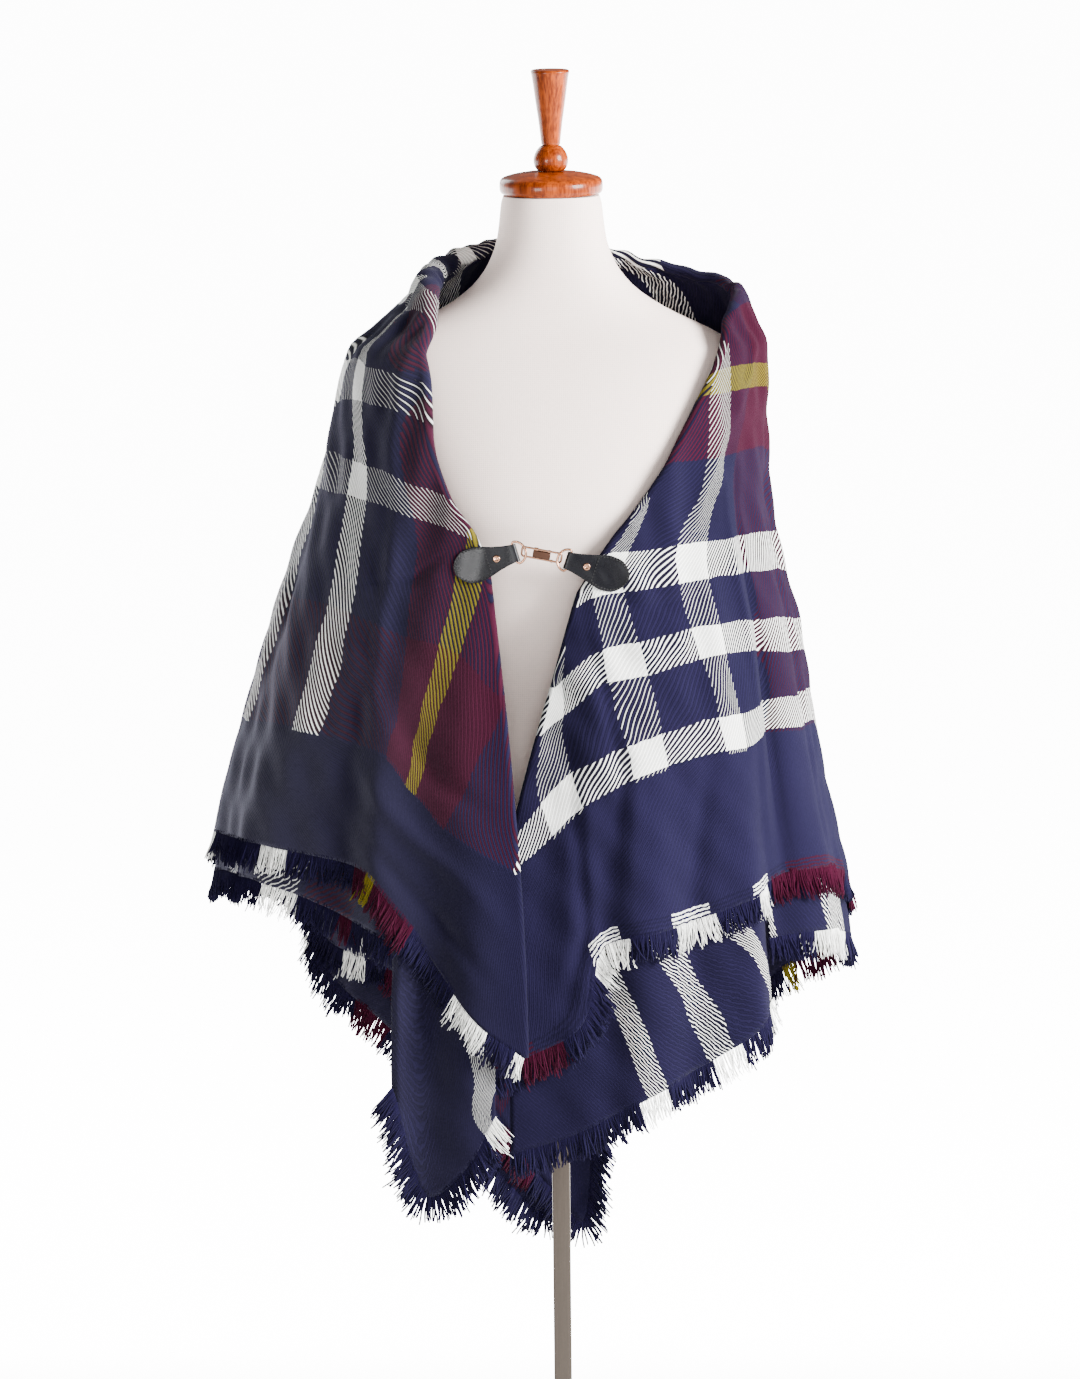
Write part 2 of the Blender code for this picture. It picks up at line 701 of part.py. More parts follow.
def on_cape(x, height, out):
    """A point over the draped face at a given place seen from the front."""
    side = float(read(CAPE_RINGS, "left" if x < 0 else "right", height))
    turn = -math.degrees(math.asin(x / side))
    out = out + float(OVERLAP_STEP * ramp(OVERLAP_START, OVERLAP_END, turn % 360))
    return Vector(drape(np.array(turn % 360 if x > 0 else turn), np.array(height), -out))


def tab_point(tab, distance, sideways, out):
    """A point at a distance from the ring's bar towards the tab's round end."""
    lean = math.radians(tab.lean)
    along_x = math.cos(lean) * (-1 if tab.side == "left" else 1)
    along_z = math.sin(lean)
    x = tab.bar_x + along_x * distance - along_z * sideways
    height = tab.bar_height + along_z * distance + along_x * sideways
    return on_cape(x, height, out)


def add_tab(tab, finish, collection):
    """A leather tab: flat on the cloth, folded round the ring's bar and back under itself."""
    path = [(TAB_LENGTH * (1 - row.part), SEAM, row.width) for row in TAB_WIDTHS]
    for angle in np.linspace(30, 180, 6):
        swing = math.radians(angle)
        distance = -LOOP_INSIDE * math.sin(swing)
        path.append((distance, SEAM - LOOP_INSIDE * (1 - math.cos(swing)), TAB_END_WIDTH))
    for distance in (0.5 * TAB_UNDER, TAB_UNDER):
        path.append((distance, SEAM - 2 * LOOP_INSIDE, TAB_END_WIDTH))
    rows = []
    for distance, out, width in path:
        rows.append([tab_point(tab, distance, width * share, out) for share in (-0.5, -0.25, 0, 0.25, 0.5)])
    points = np.array([[tuple(point) for point in row] for row in rows])
    add_wall("tab_" + tab.side, points, LEATHER, finish, collection, offset=1.0)


def ring_points(tab):
    """A D-ring: its straight bar in the leather and its bow towards the hook."""
    half = RING_HEIGHT / 2
    bow = RING_REACH - RING_CORNER
    outline = [(0.0, RING_CORNER - half), (0.0, 0.0), (0.0, half - RING_CORNER)]
    for angle in np.linspace(math.pi / 2, -math.pi / 2, BOW_STEPS + 1):
        outline.append((-RING_CORNER - bow * math.cos(angle), half * math.sin(angle)))
    return [tab_point(tab, distance, sideways, SEAM - LOOP_INSIDE) for distance, sideways in outline]


def build_rivet(tab, finish, collection):
    """The rivet that holds the tab's two plies, standing out of the leather."""
    foot = tab_point(tab, RIVET_PLACE, 0.0, SEAM + LEATHER + RIVET_GAP)
    tip = tab_point(tab, RIVET_PLACE, 0.0, SEAM + LEATHER + RIVET_GAP + RIVET_HEIGHT)
    rivet = add_turned("rivet_" + tab.side, RIVET_PROFILE, finish, collection, steps=16)
    turned = (tip - foot).to_track_quat("Z", "Y").to_matrix().to_4x4()
    rivet.matrix_world = Matrix.Translation(foot) @ turned


def build_hook(collection, finish):
    """The hook's frame through both rings, and the flat gate between its two long sides."""
    inside = -RING_REACH + 2 * RING_WIRE + HOOK_WIRE
    ends = [tab_point(tab, inside, 0.0, SEAM - LOOP_INSIDE) for tab in TABS]
    middle = (ends[0] + ends[1]) / 2
    reach = (ends[1] - ends[0]).normalized()
    upright = Vector((0, -1, 0)).cross(reach).normalized()
    tilted = Matrix.Rotation(HOOK_TILT, 3, reach) @ upright
    straight = (ends[1] - ends[0]).length / 2 - HOOK_CORNER
    rise = HOOK_HEIGHT / 2 - HOOK_CORNER
    outline = []
    for quarter, (side, level) in enumerate(((1, 1), (-1, 1), (-1, -1), (1, -1))):
        for step in range(4):
            angle = math.radians(90 * quarter + 30 * step)
            outline.append(
                middle
                + reach * (side * straight + HOOK_CORNER * math.cos(angle))
                + tilted * (level * rise + HOOK_CORNER * math.sin(angle))
            )
    add_wire("hook_frame", outline, HOOK_WIRE, finish, collection)

    dark = material("dark_rose_gold", (0.30, 0.20, 0.15), 0.3, 1.0)
    gate_size = (GATE_LENGTH, HOOK_HEIGHT - 2 * (HOOK_WIRE + SEAM), GATE_THICK)
    gate = add_bar("hook_gate", gate_size, GATE_ROUNDING, dark, collection)
    turned = Matrix((reach, tilted, reach.cross(tilted))).transposed().to_4x4()
    gate.matrix_world = Matrix.Translation(middle) @ turned


def build_clasp(collection):
    """Two tabs, two D-rings, two rivets and the hook between them."""
    leather = material("black_leather", (0.012, 0.012, 0.014), 0.4)
    metal = material("rose_gold", (0.55, 0.36, 0.26), 0.25, 1.0)
    for tab in TABS:
        add_tab(tab, leather, collection)
        add_wire("ring_" + tab.side, ring_points(tab), RING_WIRE, metal, collection)
        build_rivet(tab, metal, collection)
    build_hook(collection, metal)


def main():
    for existing in list(bpy.data.objects):
        bpy.data.objects.remove(existing, do_unlink=True)
    collection = bpy.data.collections.new("cape_poncho_on_dress_form")
    bpy.context.scene.collection.children.link(collection)
    build_form(collection)
    build_cloth(collection)
    build_clasp(collection)


main()
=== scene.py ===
"""Cape poncho on a limbless dress form, as it looks.

A fringed blanket square is folded corner to corner. Its fold stands up behind the neck as a rolled
collar and runs down both front edges. Its two layers hang as a cape, closed by a leather clasp.

Metres, +Z up, and the form faces -Y. A turn is an angle round the form in degrees: 0 in front, 90
at the viewer's left, 180 behind, 270 at the viewer's right, and on past 360 where the right front
lies under the left one. A rib runs from the fold down to the hem, and a part is how far down it a
point lies. Every place on the cloth also has its place on the flat square: how far it is, in
millimetres, from the right hem and from the left hem of the upper layer. The tables are in
millimetres and degrees.
"""

import math
from collections import namedtuple
from contextlib import contextmanager
from functools import partial

import bmesh
import bpy
import numpy as np
from bpy.props import FloatProperty, FloatVectorProperty, IntProperty, PointerProperty
from mathutils import Matrix, Vector


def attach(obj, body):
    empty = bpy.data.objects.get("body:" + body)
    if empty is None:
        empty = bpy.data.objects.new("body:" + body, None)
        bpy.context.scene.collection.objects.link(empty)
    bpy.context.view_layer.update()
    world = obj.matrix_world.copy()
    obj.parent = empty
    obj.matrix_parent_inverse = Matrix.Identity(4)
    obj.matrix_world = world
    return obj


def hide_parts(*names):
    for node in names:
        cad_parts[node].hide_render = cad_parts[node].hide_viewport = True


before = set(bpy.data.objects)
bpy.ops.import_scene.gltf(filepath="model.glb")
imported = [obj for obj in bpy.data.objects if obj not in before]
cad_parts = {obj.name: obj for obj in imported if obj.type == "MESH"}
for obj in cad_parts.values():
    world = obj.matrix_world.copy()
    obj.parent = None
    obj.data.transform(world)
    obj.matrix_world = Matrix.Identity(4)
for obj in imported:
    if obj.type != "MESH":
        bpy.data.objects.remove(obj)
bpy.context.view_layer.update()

bl_info = {
    "name": "Cape poncho on dress form",
    "version": (1, 0, 0),
    "blender": (4, 5, 0),
    "location": "View3D > Sidebar > Cape poncho",
    "description": "Builds a fringed cape poncho, its leather clasp and the dress form",
    "category": "Add Mesh",
}

MM = 0.001


def metres(columns, plain, *rows):
    """Named rows in metres, from rows in millimetres whose first numbers are ribs or turns."""
    kind = namedtuple("Row", columns)
    return tuple(kind(*row[:plain], *(number / 1000 for number in row[plain:])) for row in rows)


# Sizes and tables of the draped cloth -------------------------------------------------------------

SQUARE = 1450.0               # side of the blanket square, in millimetres
CLOTH = 0.0018                # thickness of one layer
LAYER_STEP = 0.008            # how far the under layer lies inside the outer one
HANG_HEIGHT = 0.600           # a rib that has swung out hangs straight from here down
SWING_POWER = 2.5
CLOSING_PART = 0.11           # how far down a rib the under layer closes up to the outer one
CURL = 0.006                  # how far a free edge of the under layer curls inwards
FOLD_FULL_HEIGHT = 0.750      # where the large folds reach their full depth
OVERLAP_STEP = 0.015          # how far the right front steps in under the left one
OVERLAP_START = 350.0
OVERLAP_END = 363.0
LAST_RIB = 24
TAIL_RIB = 12.2               # where the two hems of the outer layer meet behind
DEGREE = 0.0047               # metres of cloth in one degree of turn, near the hem
RIB_STEPS = 12                # columns of the outer layer between two ribs
DROP_STEPS = 104              # rows of the outer layer from fold to hem
UNDER_DROP_STEPS = 90
ROLL_STEPS = 9
HEM_STEPS = 60                # steps that a length of hem is measured in
LEAD_STEPS = 9                # how many steps of the fold its run on the square is averaged over
LEAD_REACH = 2                # how many steps in from the fold that run is measured
LEAD_LEAST = 0.002            # shortest run that is divided by, in metres
LEAD_MOST = 1400.0            # most millimetres of the square in a metre round the roll
WELD = 0.00005

# Level rings of the cape's outer face: height, and its reach to each side, ahead and behind.
CAPE_RINGS = metres(
    "height left right front back", 0,
    (400, 392, 325, 200, 222), (560, 390, 325, 197, 214), (700, 385, 320, 192, 204),
    (820, 372, 305, 187, 192), (900, 357, 287, 182, 182), (1000, 328, 270, 174, 168),
    (1090, 301, 255, 166, 156), (1170, 273, 234, 158, 146), (1240, 248, 223, 151, 138),
    (1310, 231, 222, 139, 128), (1360, 220, 224, 122, 118), (1385, 211, 222, 108, 112),
    (1405, 186, 213, 94, 106), (1430, 160, 204, 82, 101), (1450, 145, 190, 75, 97),
    (1465, 135, 158, 71, 94), (1480, 119, 120, 67, 90), (1500, 80, 95, 62, 84),
)
# The fold, at each rib: its turn and height, and the radius of its roll.
NECKLINE = metres(
    "rib turn height roll", 2,
    (0, 15, 1165, 5), (1, 18.5, 1200, 5), (2, 27, 1244, 5), (3, 33, 1290, 5.5),
    (4, 37.5, 1360, 6.5), (5, 48, 1412, 8.5), (6, 62, 1440, 11), (7, 80, 1458, 13),
    (8, 100, 1468, 13), (9, 120, 1479, 11), (10, 140, 1486, 8.5), (11, 160, 1488, 7),
    (12, 180, 1486, 6), (13, 200, 1481, 6), (14, 218, 1470, 6), (15, 235, 1459, 6),
    (16, 252, 1452, 6), (17, 270, 1443, 6.5), (18, 286, 1432, 7), (19, 300, 1408, 6.5),
    (20, 308, 1378, 6), (21, 321, 1308, 5.5), (22, 333, 1247, 5), (23, 347, 1186, 5),
    (24, 354, 1144, 5),
)
HEM = "rib turn height"
OUTER_HEM = metres(
    HEM, 2,
    (0, 5.5, 672), (1, 12, 705), (2, 19, 760), (3, 26, 820), (4, 34, 862), (5, 47, 874),
    (6, 62, 880), (7, 80, 878), (8, 98, 868), (9, 122, 822), (9.5, 132, 782), (10, 139, 692),
    (11, 154, 598), (12, 178, 390), (13, 188.5, 560), (14, 210, 650), (15, 231, 725),
    (16, 252, 790), (17, 270, 824), (18, 287, 842), (19, 305, 846), (20, 320, 826), (21, 335, 805),
    (22, 352, 785), (23, 355.5, 708), (24, 371, 652),
)
INNER_HEMS = {
    "inner_front_left": metres(
        HEM, 2,
        (0, 10, 610), (1, 14.5, 555), (2, 21, 520), (3, 27, 635),
    ),
    "inner_side_left": metres(
        HEM, 2,
        (3, 27, 790), (4, 35, 804), (5, 47, 828), (6, 62, 842), (7, 80, 840), (8, 98, 825),
    ),
    "inner_back": metres(
        HEM, 2,
        (8, 98, 825), (9, 122, 812), (9.5, 132, 784), (10, 139, 722), (11, 154, 672),
        (12, 178, 425), (12.5, 184.3, 382), (13, 188.5, 535), (14, 210, 612), (15, 231, 690),
        (16, 252, 735), (17, 270, 760),
    ),
    "inner_side_right": metres(
        HEM, 2,
        (17, 270, 760), (18, 287, 775), (19, 303, 780), (20, 312, 778),
    ),
    "inner_front_right": metres(
        HEM, 2,
        (20, 312, 712), (21, 328, 664), (22, 345, 622), (23, 357, 588), (24, 368, 565),
    ),
}
UNDER_BACK = ("inner_side_left", "inner_back", "inner_side_right")
UNDER_BACK_HEM = tuple({row.rib: row for name in UNDER_BACK for row in INNER_HEMS[name]}.values())

# The large folds: each runs from a turn at the neck to a turn at the hem, with its half widths in
# degrees, the height where it starts and how far it stands out. Troughs are negative.
FOLDS = metres(
    "neck_turn hem_turn before after top depth", 4,
    (22, 12, 5, 5, 1200, 8), (31, 21, 5, 6, 1180, -7), (34, 29, 5, 3, 1120, 12),
    (40, 37.5, 4.5, 9, 1150, -14), (58, 60, 8, 8, 1200, 10), (78, 76, 8, 8, 1180, -10),
    (104, 108, 9, 8, 1250, 14), (122, 128, 8, 9, 1250, -16), (142, 146, 9, 9, 1300, 18),
    (162, 164, 8, 8, 1280, -15), (180, 180, 10, 10, 1320, 13), (198, 197, 8, 8, 1280, -17),
    (216, 214, 8, 9, 1300, 16), (234, 234, 9, 9, 1240, -14), (254, 255, 9, 8, 1250, 12),
    (276, 277, 7, 7, 1200, -8), (294, 296, 6, 5, 1260, 7), (305, 312, 8, 3.5, 1230, -14),
    (314, 320, 4, 6, 1200, 8), (330, 333, 5, 5, 1120, -7), (340, 343, 5, 4, 1080, 9),
    (350, 350.5, 3.5, 3.5, 1050, -8),
)
# Smaller creases: half width, depth and the (turn, height) places that each one runs through. They
# die out at both ends.
CREASES = (
    # left front: off the shoulder, then slanting across the lower flap
    (17, -4.5, (70, 1400), (61, 1300), (53, 1180), (46, 1020)),
    (11, 4, (45, 1320), (38, 1180), (36, 1000), (41, 900)),
    (19, -5, (90, 1360), (81, 1200), (72, 1050), (69, 940)),
    (13, 3.5, (100, 1380), (86, 1310), (72, 1250)),
    (8, -4.5, (35, 905), (26, 850), (16, 790), (10, 740)),
    (9, 4, (36, 960), (25, 900), (14, 850), (8, 800)),
    (10, -3.5, (31, 1020), (22, 960), (12, 925)),
    (8, -4, (50, 1398), (66, 1424), (88, 1440), (112, 1452)),
    (6, -3, (24, 1190), (32, 1160), (44, 1150)),
    # right front: a light ridge off the shoulder, fans from the clasp, folds over the lower hem
    (9, 5.5, (288, 1395), (299, 1345), (312, 1270), (320, 1215)),
    (8, -4, (294, 1380), (305, 1310), (316, 1235)),
    (10, -4, (352, 1150), (337, 1130), (320, 1140)),
    (13, 3.5, (350, 1100), (334, 1085), (318, 1110)),
    (8, -4, (354, 1130), (350, 1060), (346, 960), (347, 880)),
    (7, -5.5, (358, 1000), (356, 900), (355, 800), (360, 700)),
    (9, 4.5, (343, 990), (345, 900), (347, 810)),
    (10, -4, (326, 960), (330, 880), (333, 810)),
    # the deep pleat down the right side, and the panel behind it
    (5, -7, (302.5, 1270), (303.5, 1150), (304, 1000), (305.5, 835)),
    (7.5, 4.5, (308, 1240), (308, 1100), (308.5, 980), (310, 830)),
    (12, -4, (284, 1220), (286, 1050), (285, 850)),
    (11, 3.5, (276, 1260), (274, 1080), (276, 880)),
    # back: slings from both shoulders, cross pulls under the collar, and the hang of the tail
    (16, -5.5, (112, 1400), (134, 1270), (158, 1140), (172, 1040)),
    (15, -5, (252, 1380), (230, 1250), (206, 1120), (190, 1050)),
    (11, 4.5, (120, 1440), (146, 1350), (172, 1290)),
    (12, 4, (243, 1425), (216, 1350), (190, 1300)),
    (8, -3.5, (138, 1452), (164, 1428), (190, 1430), (216, 1438)),
    (13, -4, (108, 1250), (124, 1120), (138, 980), (146, 860)),
    (14, 4, (258, 1240), (243, 1100), (230, 960), (222, 820)),
    (10, -4, (170, 980), (174, 820), (178, 600)),
)
CREASE_START = 0.06           # how far along its fade a crease starts, and how sudden that is
CREASE_FADE = 0.8

RIPPLES = 9                   # soft waves that keep the cloth from lying dead smooth
RIPPLE_DEPTH = 0.00055
RIPPLE_LENGTH = (0.035, 0.110)
RIPPLE_HEADING = (-0.9, 0.9)
RIPPLE_SEED = 11

# The checks ---------------------------------------------------------------------------------------


def check(**stripes):
    """Where each colour starts across the square, from the stripes of each. The ground is navy."""
    rows, reached = [], 0
    for start, end, colour in sorted((*row, name) for name in stripes for row in stripes[name]):
        rows += [(reached, "navy")] * (start > reached) + [(start, colour)]
        reached = end
    return rows + [(reached, "navy")] * (reached < SQUARE)


# In millimetres from the right hem and from the left hem of the upper layer.
RIGHT_HEM_CHECK = check(
    white=((160, 202), (252, 294), (344, 386), (764, 800), (902, 944), (994, 1036), (1345, 1392)),
    burgundy=((481, 547), (577, 638), (1086, 1147), (1177, 1243)),
    mustard=((547, 577), (1147, 1177)),
)
LEFT_HEM_CHECK = check(
    white=(
        (357, 399), (449, 491), (541, 583), (640, 682), (1064, 1106), (1156, 1198), (1248, 1290),
    ),
    burgundy=((150, 265), (812, 969), (1390, 1450)),
)
UNDER_RIGHT_CHECK = check(
    white=((160, 202), (252, 294), (344, 386), (500, 618), (770, 802), (902, 944), (994, 1036)),
    burgundy=((1086, 1147), (1177, 1243)),
    mustard=((1147, 1177),),
)
UNDER_LEFT_CHECK = check(
    white=((24, 66), (291, 351), (401, 443), (941, 994), (1044, 1086)),
    burgundy=((200, 279), (1136, 1290)),
)
RIGHT_BORDER = 160.0          # plain navy borders of the upper layer's face
LEFT_BORDER = 150.0
PICK = 3.4                    # from one of the picks beside the hem to the next, in millimetres
PICKS_REACH = 10.2            # how far in from the hem they show

# Where lines of the flat square lie on the worn cloth: how far each is from the right hem, and the
# (turn, height) places that it runs through.
RIGHT_HEM_LINES = (
    (160, (366, 868), (359.5, 904), (351, 936), (342.5, 956), (333, 968), (322.5, 976), (311, 980),
     (306, 990), (293.5, 988), (275, 986)),
    (202, (366, 906), (359.5, 952), (351, 976), (342, 992), (332, 1004), (321.5, 1012),
     (310.5, 1016), (305, 1022), (292, 1022), (275, 1022)),
    (252, (359.5, 1016), (355, 1032), (350.5, 1050), (341, 1058), (331, 1068), (319.5, 1076),
     (308, 1076), (302.5, 1073), (279, 1064)),
    (294, (361, 1048), (354.5, 1076), (350, 1088), (340.5, 1096), (330, 1104), (318, 1108),
     (305.5, 1108), (300.5, 1107), (279, 1098)),
    (344, (351.5, 1140), (339, 1148), (328, 1152), (315, 1156), (302, 1156), (282, 1152)),
    (386, (345, 1184), (338, 1184), (326.5, 1188), (312.5, 1189), (299, 1191), (284, 1188)),
    (481, (326.5, 1276), (318, 1276), (300.5, 1280), (284, 1281)),
    (547, (317, 1340), (308, 1340), (284, 1341)),
    (577, (312.5, 1364), (306, 1367), (282, 1365)),
    (638, (303.5, 1416), (290.5, 1424), (274, 1426)),
    (1243, (10, 1044), (12, 1008), (14.5, 980), (16.5, 944), (19.5, 908), (23.5, 795)),
    (1177, (16, 1200), (16, 1152), (17.5, 1120), (19, 1088), (21, 1048), (23, 1008), (25, 944),
     (29.5, 830)),
    (1147, (24, 1240), (20.5, 1206), (22.3, 1164), (22.7, 1128), (23.8, 1100), (25, 1060),
     (26, 1032), (27, 996), (27.6, 948), (32.5, 850)),
    (1086, (36, 1360), (40, 1348), (42.5, 1328), (43, 1300), (40.5, 1268), (38.5, 1252),
     (35.5, 1228), (33, 1200), (32.3, 1180), (32, 1140), (31, 1096), (30.5, 1056), (30.5, 1016),
     (31.5, 976), (37, 868)),
    (1036, (105, 1470), (86, 1450), (71.5, 1424), (67, 1400), (64.5, 1384), (62, 1340), (58, 1304),
     (54, 1276), (52.5, 1256), (50.5, 1216), (48.5, 1184), (47, 1136), (47, 1092), (47.5, 1040),
     (48.5, 996), (50, 874)),
    (994, (125, 1480), (100, 1463), (75, 1437), (72.5, 1416), (70.5, 1390), (69, 1350), (66, 1318),
     (62.5, 1292), (61, 1264), (60, 1232), (59, 1204), (56.5, 1160), (55.5, 1120), (55.5, 1080),
     (55.5, 1036), (56.5, 1000), (57.5, 876)),
    (944, (100, 1360), (92, 1270), (81, 1164), (79, 1112), (80, 1060), (82, 990), (81, 876)),
    (902, (104, 1260), (94, 1160), (91, 1060), (92, 980), (92, 872)),
)
# The same for lines at a distance from the left hem.
LEFT_HEM_LINES = (
    (1290, (361, 1048), (362, 1020), (363, 988), (363.5, 956), (361, 904), (353.5, 772)),
    (1248, (358.5, 1052), (358.5, 1010), (357, 980), (355.5, 952), (353.5, 924), (347, 780)),
    (1198, (337, 1232), (343, 1200), (347.5, 1180), (350.5, 1150), (350, 1130), (348.5, 1092),
     (346.5, 1048), (344.5, 1000), (343.5, 976), (343, 956), (337, 794)),
    (1156, (334, 1240), (336, 1220), (340, 1192), (342, 1172), (341.5, 1144), (340, 1104),
     (337.5, 1056), (335.5, 1000), (334, 960), (328, 802)),
    (1106, (311, 1372), (313.5, 1336), (313.5, 1296), (315, 1268), (318, 1236), (323, 1208),
     (325.5, 1188), (326.5, 1152), (325.7, 1110), (323, 1064), (321.5, 1036), (321, 1010),
     (320, 976), (319, 824)),
    (1064, (305.5, 1368), (305, 1336), (306, 1296), (309.5, 1256), (313.5, 1228), (316.5, 1200),
     (318.3, 1176), (318.7, 1150), (318.3, 1108), (317.5, 1068), (316, 1032), (315, 1012),
     (314.5, 980), (312, 838)),
    (1008, (306, 1150), (306.5, 1050), (307, 950), (308, 850)),
    (969, (302, 1280), (303, 1180), (303.5, 1080), (304, 980), (305, 850)),
    (850, (272, 1230), (272, 1080), (271, 950), (271, 850)),
    (150, (93, 996), (75, 998), (56.5, 1000), (48.5, 996), (39, 988), (31, 976), (27, 950),
     (23, 930), (19.5, 908), (12, 880)),
    (265, (10, 1038), (14.5, 1060), (19, 1084), (31, 1100), (50, 1124), (75, 1130), (98, 1130)),
    (357, (98, 1232), (83, 1236), (60, 1236), (51.5, 1232), (43.5, 1228), (34.5, 1218), (27, 1211),
     (20.5, 1200)),
    (399, (98, 1266), (63, 1272), (53, 1268), (45.5, 1264), (38, 1254), (31, 1248), (25, 1240)),
    (449, (95, 1326), (69.5, 1332), (61.5, 1332), (49.5, 1328), (42, 1322), (34, 1312)),
    (491, (95, 1366), (82.5, 1369), (62, 1368), (50, 1364), (41.5, 1360), (36.5, 1356)),
    (541, (41.5, 1408), (50.5, 1420), (62.5, 1426), (80, 1432)),
    (583, (64, 1450), (80, 1456), (96, 1462)),
)
# Lines on the under layer's right front, and on its left flap.
UNDER_RIGHT_LINES = (
    (160, (351.5, 732), (349.5, 708), (347, 668), (344.5, 628), (343.5, 616)),
    (202, (347.5, 740), (345, 708), (342.5, 668), (339.5, 628)),
    (252, (338.5, 744), (336.5, 728), (332.5, 676), (330.5, 644)),
    (294, (332.5, 744), (330, 724), (326.5, 680), (324, 664)),
    (344, (320.5, 764), (319, 748), (313, 700)),
    (386, (317.5, 768), (312, 732), (310, 696)),
)
UNDER_LEFT_LINES = (
    (20, (9.3, 700), (9.3, 640), (9.8, 600)),
    (60, (14.5, 700), (12.5, 640), (11, 590)),
    (180, (27, 700), (25, 600), (21, 520)),
)
# The two tips, where the fold meets the hems: turn, height and distance from the hem.
TIPS = (
    ((5.5, 672, 1450), (12, 705, 1384), (19, 760, 1300)),
    ((371, 652, 1450), (363, 656, 1390)),
)
# Along the hidden back: where the fold lies on the square at two turns, how many millimetres of the
# square's side lie in a metre of hem, and the parts of each rib where the square is pinned down.
BACK_FOLD = ((125.0, 994.0, 640.0), (270.0, 660.0, 830.0))
BACK_RIBS = (9, 17)
HEM_SPREAD = 1340.0
PINNED_PARTS = (0.02, 0.25, 0.5, 0.75, 1.0)
FRONT_DROP = 620.0            # millimetres of the square from fold to hem on an under front
PLATE_EASE = 2e-6             # how far the fields may pass beside the lines that they are led by

# The fringe: coloured tufts between two turns. The rest is navy.
TUFTS = {
    "outer_front_left": {
        "white": ((5, 6.9), (11, 16.4), (50.5, 57.5), (86, 92)),
        "burgundy": ((23.8, 30.8), (32.6, 35.5)),
        "mustard": ((30.8, 32.6),),
    },
    "outer_back": {
        "white": ((118, 122), (133, 136), (164, 167), (193, 197), (224, 229), (238, 243)),
        "burgundy": ((146, 152), (206, 213), (256, 262)),
    },
    "outer_front_right": {
        "white": ((313, 318), (328, 337), (346.5, 353.6)),
        "burgundy": ((271, 311), (359.5, 366.5)),
    },
    "inner_front_left": {"white": ((9.5, 11.6),)},
    "inner_side_left": {"burgundy": ((36, 39),), "white": ((48, 56.5),)},
    "inner_back": {
        "white": ((143, 147.5), (203, 208)),
        "burgundy": ((151, 156), (171, 176), (237.5, 250)),
        "mustard": ((233.5, 237.5),),
    },
    "inner_side_right": {"white": ((269, 300),)},
    "inner_front_right": {"white": ((311, 315.5), (324, 330), (340, 345.5))},
}
FINE_STEPS = 400              # steps that a hem is measured in
THREAD_ROWS = 2
TUFT_THREADS = 6.0            # threads that lean together
TUFT_SWAY = 0.0022            # how far a tuft leans aside at its tips, and a thread on its own
THREAD_STRAY = 0.0034
TUFT_LIFT = 0.0012            # how far a tuft and a thread lift off the cloth's own surface
THREAD_LIFT = 0.0008
TUFT_GATHER = (0.05, 0.4)     # how much of the way to its tuft's middle a thread leans
TUFT_LENGTH = (0.80, 1.0)
THREAD_LENGTH = (0.74, 1.0)
THREAD_ENDS = 0.0008          # how far in from the ends of a hem the first threads are
THREAD_JITTER = (-0.3, 0.3)   # how unevenly threads are spaced
THREAD_STEPS = np.linspace(-0.10, 1.0, 6)   # places along a thread, from just inside the hem
THREAD_BEND = 1.4             # how much more it leans towards its tip
THREAD_WAVE = (0.0009, 5.0)   # its waves aside and off the surface: size and turns
THREAD_WAVE_OUT = (0.0006, 6.0)
THREAD_SIDES = 4
THREAD_RADIUS = (1.0, 0.95, 0.7)   # at its root, half way and at its tip
THREAD_THICK = (0.8, 1.15)
THREAD_SHADE = (0.75, 1.2)
WHITE_THREAD = 0.5            # the white yarn is spun finer, and light passes between its threads

# Smooth reading of the tables ---------------------------------------------------------------------


def glide(at, value, key):
    """The monotone cubic curve through (at, value), read at key."""
    key = np.asarray(key, dtype=float)
    step = np.diff(at)
    slope = np.diff(value) / step
    tangent = np.concatenate((slope[:1], np.zeros(len(slope) - 1), slope[-1:]))
    same = slope[:-1] * slope[1:] > 0
    total = np.where(same, slope[:-1] + slope[1:], 1.0)
    tangent[1:-1] = np.where(same, 2 * slope[:-1] * slope[1:] / total, 0.0)
    place = np.clip(np.searchsorted(at, key, side="right") - 1, 0, len(step) - 1)
    part = np.clip((key - at[place]) / step[place], 0, 1)
    rest = 1 - part
    return (
        (1 + 2 * part) * rest**2 * value[place]
        + part * rest**2 * step[place] * tangent[place]
        + part**2 * (3 - 2 * part) * value[place + 1]
        - part**2 * rest * step[place] * tangent[place + 1]
    )


def read(table, name, key):
    """One named column of a table, read smoothly at any value of its first column."""
    at = np.array([row[0] for row in table], dtype=float)
    return glide(at, np.array([getattr(row, name) for row in table], dtype=float), key)


def ramp(low, high, value):
    """0 below low, 1 above high, and a soft S between them."""
    part = np.clip((value - low) / (high - low), 0, 1)
    return part * part * (3 - 2 * part)


def unit(vectors):
    """The same directions at length one."""
    return vectors / np.linalg.norm(vectors, axis=-1, keepdims=True)


def run_along(points):
    """How far along a path each of its points lies."""
    steps = np.linalg.norm(np.diff(points, axis=0), axis=1)
    return np.concatenate(([0.0], np.cumsum(steps)))


# The draped surface -------------------------------------------------------------------------------


